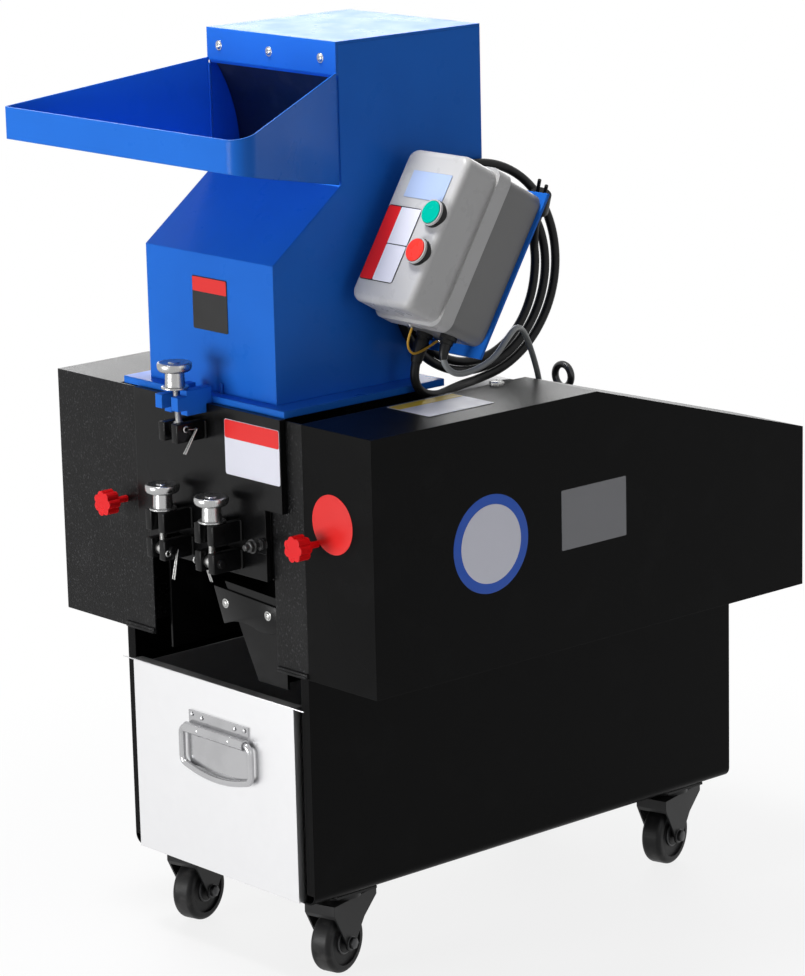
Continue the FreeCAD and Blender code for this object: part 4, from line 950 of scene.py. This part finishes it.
# %% Wheel covers and axle nuts
COVER_OUT = 0.0118
NUT_OUT = 0.0236
cover = turned(millimetres((15.0, -1), (15.0, 0.4), (14.2, 0.9), (12.6, 0.9), (12.0, 0.3), (9.2, 0.3),
                           (8.6, 1.2), (6.0, 1.6)), 40)
axle_nut = hex_head(0.012, 0.0045)
record_joints = {joint["name"]: joint for joint in frame["record"]["behaviour"]["joints"]}
for corner in ("front_left", "front_right", "rear_left", "rear_right"):
    spin = record_joints["spin_" + corner]
    centre, axis = Vector(spin["pos_m"]), Vector(spin["axis"])
    covers = [copied(cover, centre + out * COVER_OUT, facing(out)) for out in (-axis, axis)]
    ends = [copied(axle_nut, centre + out * NUT_OUT, facing(out, 0.4)) for out in (-axis, axis)]
    finish_piece(joined(covers), "wheel_cover_" + corner, "dull grey", "caster_rubber", "wheel_" + corner)
    finish_piece(joined(ends), "axle_nuts_" + corner, "dull grey", "caster_black", "swivel_" + corner)
print("casters dressed")

# %% [markdown]
# Where the supply cable and the motor's lead leave the box, each runs through a soft tapered sleeve that
# keeps it from kinking. The sleeve follows the first points of the cable's own smooth line, so it bends
# with it, and its thickness falls from point to point. It is made solid by turning the curve to a mesh.

# %% Strain reliefs
def as_mesh(piece):
    alone(piece)
    bpy.ops.object.convert(target="MESH")
    return piece


def sleeve(name, line, long, thick, thin, finish):
    """A ribbed tube along the first stretch of a cable's line."""
    points, run = [line[0]], 0.0
    for a, b in zip(line, line[1:]):
        run += (b - a).length
        if run > long:
            break
        points.append(b)
    shares = [i / (len(points) - 1) for i in range(len(points))]
    radii = [(thick + (thin - thick) * share) * (1 + 0.05 * (i % 2)) for i, share in enumerate(shares)]
    made = as_mesh(round_line(name, points, radii, 1.0, "POLY", around=6))
    return finish_piece(made, name, finish, "cable_rubber", smooth=30)


sleeve("supply_relief", supply_line, 0.028, 0.0088, 0.0062, "cable rubber")
sleeve("lead_relief", lead_line, 0.018, 0.0065, 0.0043, "black plastic")
print("strain reliefs")

# %% [markdown]
# Under the box two screws and a yellow earth wire with its ring lug show beside the glands. The wire is
# a small curve that goes back into the box.

# %% Earth wire and screws under the box
EARTH_WIRE = 0.0014
earth = [on_slope(0.1670, 0.0365, 0.087), on_slope(0.1650, 0.0230, 0.086), on_slope(0.1620, 0.0130, 0.076),
         on_slope(0.1600, 0.0120, 0.060), on_slope(0.1620, 0.0370, 0.040)]
wire = as_mesh(round_line("earth_wire", earth, [POINT] * len(earth), EARTH_WIRE / POINT))
finish_piece(wire, "earth_wire", "wire yellow", "grey_cast")
spots = [on_slope(0.1680, 0.0380, 0.090), on_slope(0.1660, 0.0380, 0.038)]
dot_row(small_pan, "box_screws", spots, -SLOPE_UP, *ZINC)
big_bolt = hex_head(0.016, 0.0085, 1.2)
dot_row(big_bolt, "guard_bolt", [(0.1725, -0.001, guard_top - 0.0004)], UP, *ZINC)
print("earth wire and screws")

# %% [markdown]
# The motor stands behind the chamber with its shaft across the machine. Its barrel has cooling fins all
# round, apart from where the feet, the lifting eye and the terminal box are. One bar is made at the top
# and turned round the shaft's line for every fin. The fan cowl's end is a grille of rings and bars.

# %% Motor fins and cowl grille
SHAFT = Vector((0, 0.270, 0.501))
COWL = SHAFT - RIGHT * 0.1462
FIN_STEP = 7.0
HOOPS = (0.018, 0.031, 0.044, 0.057, 0.070, 0.083)
long_bar, short_bar = (block((-0.108, -0.0009, 0.0785), (end, 0.0009, 0.0845), 0.0004) for end in (0.084, 0.014))
fins = []
for step in range(-18, 19):
    angle = FIN_STEP * step
    if abs(angle) < 12:
        continue
    bar = short_bar if 17 < angle < 75 else long_bar
    fins.append(copied(bar, SHAFT, Matrix.Rotation(math.radians(angle), 4, "X")))
finish_piece(joined(fins), "motor_fins", *MOTOR, smooth=30)
grille = []
for radius in HOOPS:
    hoop = begin(bpy.ops.mesh.primitive_torus_add, major_radius=radius, minor_radius=0.0016,
                 major_segments=64, minor_segments=8)
    grille.append(set_facing(hoop, COWL, RIGHT))
for turn in range(8):
    aim = Vector((0, math.cos(math.radians(45 * turn)), math.sin(math.radians(45 * turn))))
    grille.append(rod(COWL + aim * HOOPS[0], COWL + aim * HOOPS[-1], 0.0014, 10))
finish_piece(joined(grille), "cowl_grille", "blackened steel", "motor_paint")
print("motor fins:", len(fins))

# %% [markdown]
# The terminal box has a lid with a rolled edge and a screw in each corner, and the motor's feet are held
# to the bed by hexagon bolts.

# %% Terminal box lid and foot bolts
lid = joined([block((0.0175, 0.1765, 0.5975), (0.0965, 0.2415, 0.6015), 0.0012, 3),
              block((0.0215, 0.1805, 0.6010), (0.0925, 0.2375, 0.6035), 0.0010, 3)])
finish_piece(lid, "terminal_lid", *MOTOR)
screws = [(x, y, 0.6034) for x in (0.0265, 0.0875) for y in (0.1855, 0.2325)]
dot_row(small_pan, "terminal_screws", screws, UP, *ZINC)
foot_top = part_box("motor")[0].z + 0.0399
feet = [(x, SHAFT.y + y, foot_top) for x in (-0.059, 0.059) for y in (-0.0645, 0.0645)]
dot_row(bolt_head, "foot_bolts", feet, UP, *ZINC)
print("terminal box and foot bolts at z %.4f" % foot_top)

# %% [markdown]
# The patterns have done their work, and only their copies stay.

# %% Remove the patterns
for pattern in (small_pan, bolt_head, nut, rivet, cover, axle_nut, big_bolt, long_bar, short_bar):
    bpy.data.objects.remove(pattern)

# %% [markdown]
# The picture is a plain studio one. The floor near the machine keeps its soft shadow and rises to pure
# white further off, so that no horizon shows. That rise is a mix of the floor's own shader with a white
# glow that only the camera and mirror-like reflections see, so it puts no light on the machine.

# %% Floor that fades into a white background
WHITE = (1, 1, 1, 1)
floor = begin(bpy.ops.mesh.primitive_plane_add, size=16)
floor.name = "floor"
ground = Finish("pale floor", (0.80, 0.80, 0.81), 0.6)
seen_by_camera = ground.node("ShaderNodeLightPath", out="Is Camera Ray")
seen_in_gloss = ground.node("ShaderNodeLightPath", out="Is Glossy Ray")
where = ground.node("ShaderNodeTexCoord", out="Object")
away = ground.node("ShaderNodeVectorMath", {"operation": "LENGTH"}, {0: where}, out="Value")
whiten = ground.ramp(away, 0.42, 1.1, 0.84, 1.0)
white = ground.node("ShaderNodeEmission", None, {"Color": WHITE, "Strength": 1.0})
glow = (seen_by_camera + seen_in_gloss) * whiten
plain = Wire(ground, ground.shader.outputs["BSDF"])
either = ground.node("ShaderNodeMixShader", None, {0: glow, 1: plain, 2: white})
ground.tree.links.new(either.socket, ground.tree.nodes["Material Output"].inputs["Surface"])
floor.data.materials.append(ground.material)
print("floor is ready")

# %% [markdown]
# The world is white to the camera, to glossy reflections and through glass, and a dim soft fill to
# everything else.

# %% World
FILL = 0.22
world = bpy.data.worlds.new("studio")
world.use_nodes = True
bpy.context.scene.world = world
sky = world.node_tree


def greater(first, second):
    """The larger of two sockets of the sky."""
    chosen = sky.nodes.new("ShaderNodeMath")
    chosen.operation = "MAXIMUM"
    sky.links.new(first, chosen.inputs[0])
    sky.links.new(second, chosen.inputs[1])
    return chosen.outputs[0]


fill = sky.nodes["Background"]
fill.inputs["Color"].default_value = (0.95, 0.97, 1.0, 1)
fill.inputs["Strength"].default_value = FILL
backdrop = sky.nodes.new("ShaderNodeBackground")
backdrop.inputs["Color"].default_value = WHITE
light_path = sky.nodes.new("ShaderNodeLightPath").outputs
straight = greater(light_path["Is Camera Ray"], light_path["Is Glossy Ray"])
choice = sky.nodes.new("ShaderNodeMixShader")
sky.links.new(greater(straight, light_path["Is Transmission Ray"]), choice.inputs[0])
sky.links.new(fill.outputs[0], choice.inputs[1])
sky.links.new(backdrop.outputs[0], choice.inputs[2])
sky.links.new(choice.outputs[0], sky.nodes["World Output"].inputs["Surface"])
print("world fill %.2f" % FILL)

# %% [markdown]
# The main lamp is large and stands low in front of the machine, so the front faces are the brightest
# and the right side falls away. A small one reaches into the tray of the scoop, a weaker one lights
# the right side, one lights the tops, and a wide one behind gives the long soft shine on the lid, the
# deck and the belt cover. The one behind is hidden from the camera, because its panel would stand in
# the picture.

# %% Lamps
def soft_lamp(name, place, width, power, target=(0, 0, 0.55), seen=True):
    data = bpy.data.lights.new(name, "AREA")
    data.shape = "RECTANGLE"
    data.size, data.size_y = width
    data.energy = power
    lamp = placed(name, data)
    lamp.location = place
    lamp.rotation_euler = (lamp.location - Vector(target)).to_track_quat("Z", "Y").to_euler()
    lamp.visible_camera = seen


soft_lamp("key", (-0.8, -3.4, 0.5), (1.5, 1.0), 62, (0, 0, 0.6))
soft_lamp("tray", (-0.35, -0.55, 2.4), (0.5, 0.5), 34, (0.0, -0.3, 1.0))
soft_lamp("side", (3.4, -0.3, 1.3), (0.8, 1.8), 7)
soft_lamp("top", (0.1, -0.2, 3.2), (1.8, 1.8), 6)
soft_lamp("behind", (-2.3, 2.1, 1.35), (2.4, 1.3), 26, (0, 0, 0.8), False)
bpy.context.scene.view_settings.view_transform = "Standard"
print("lamps are lit")

# %% [markdown]
# Last, the view layer is brought up to date. The new pieces may not make the machine any bigger.

# %% Bring the scene up to date
bpy.context.view_layer.update()
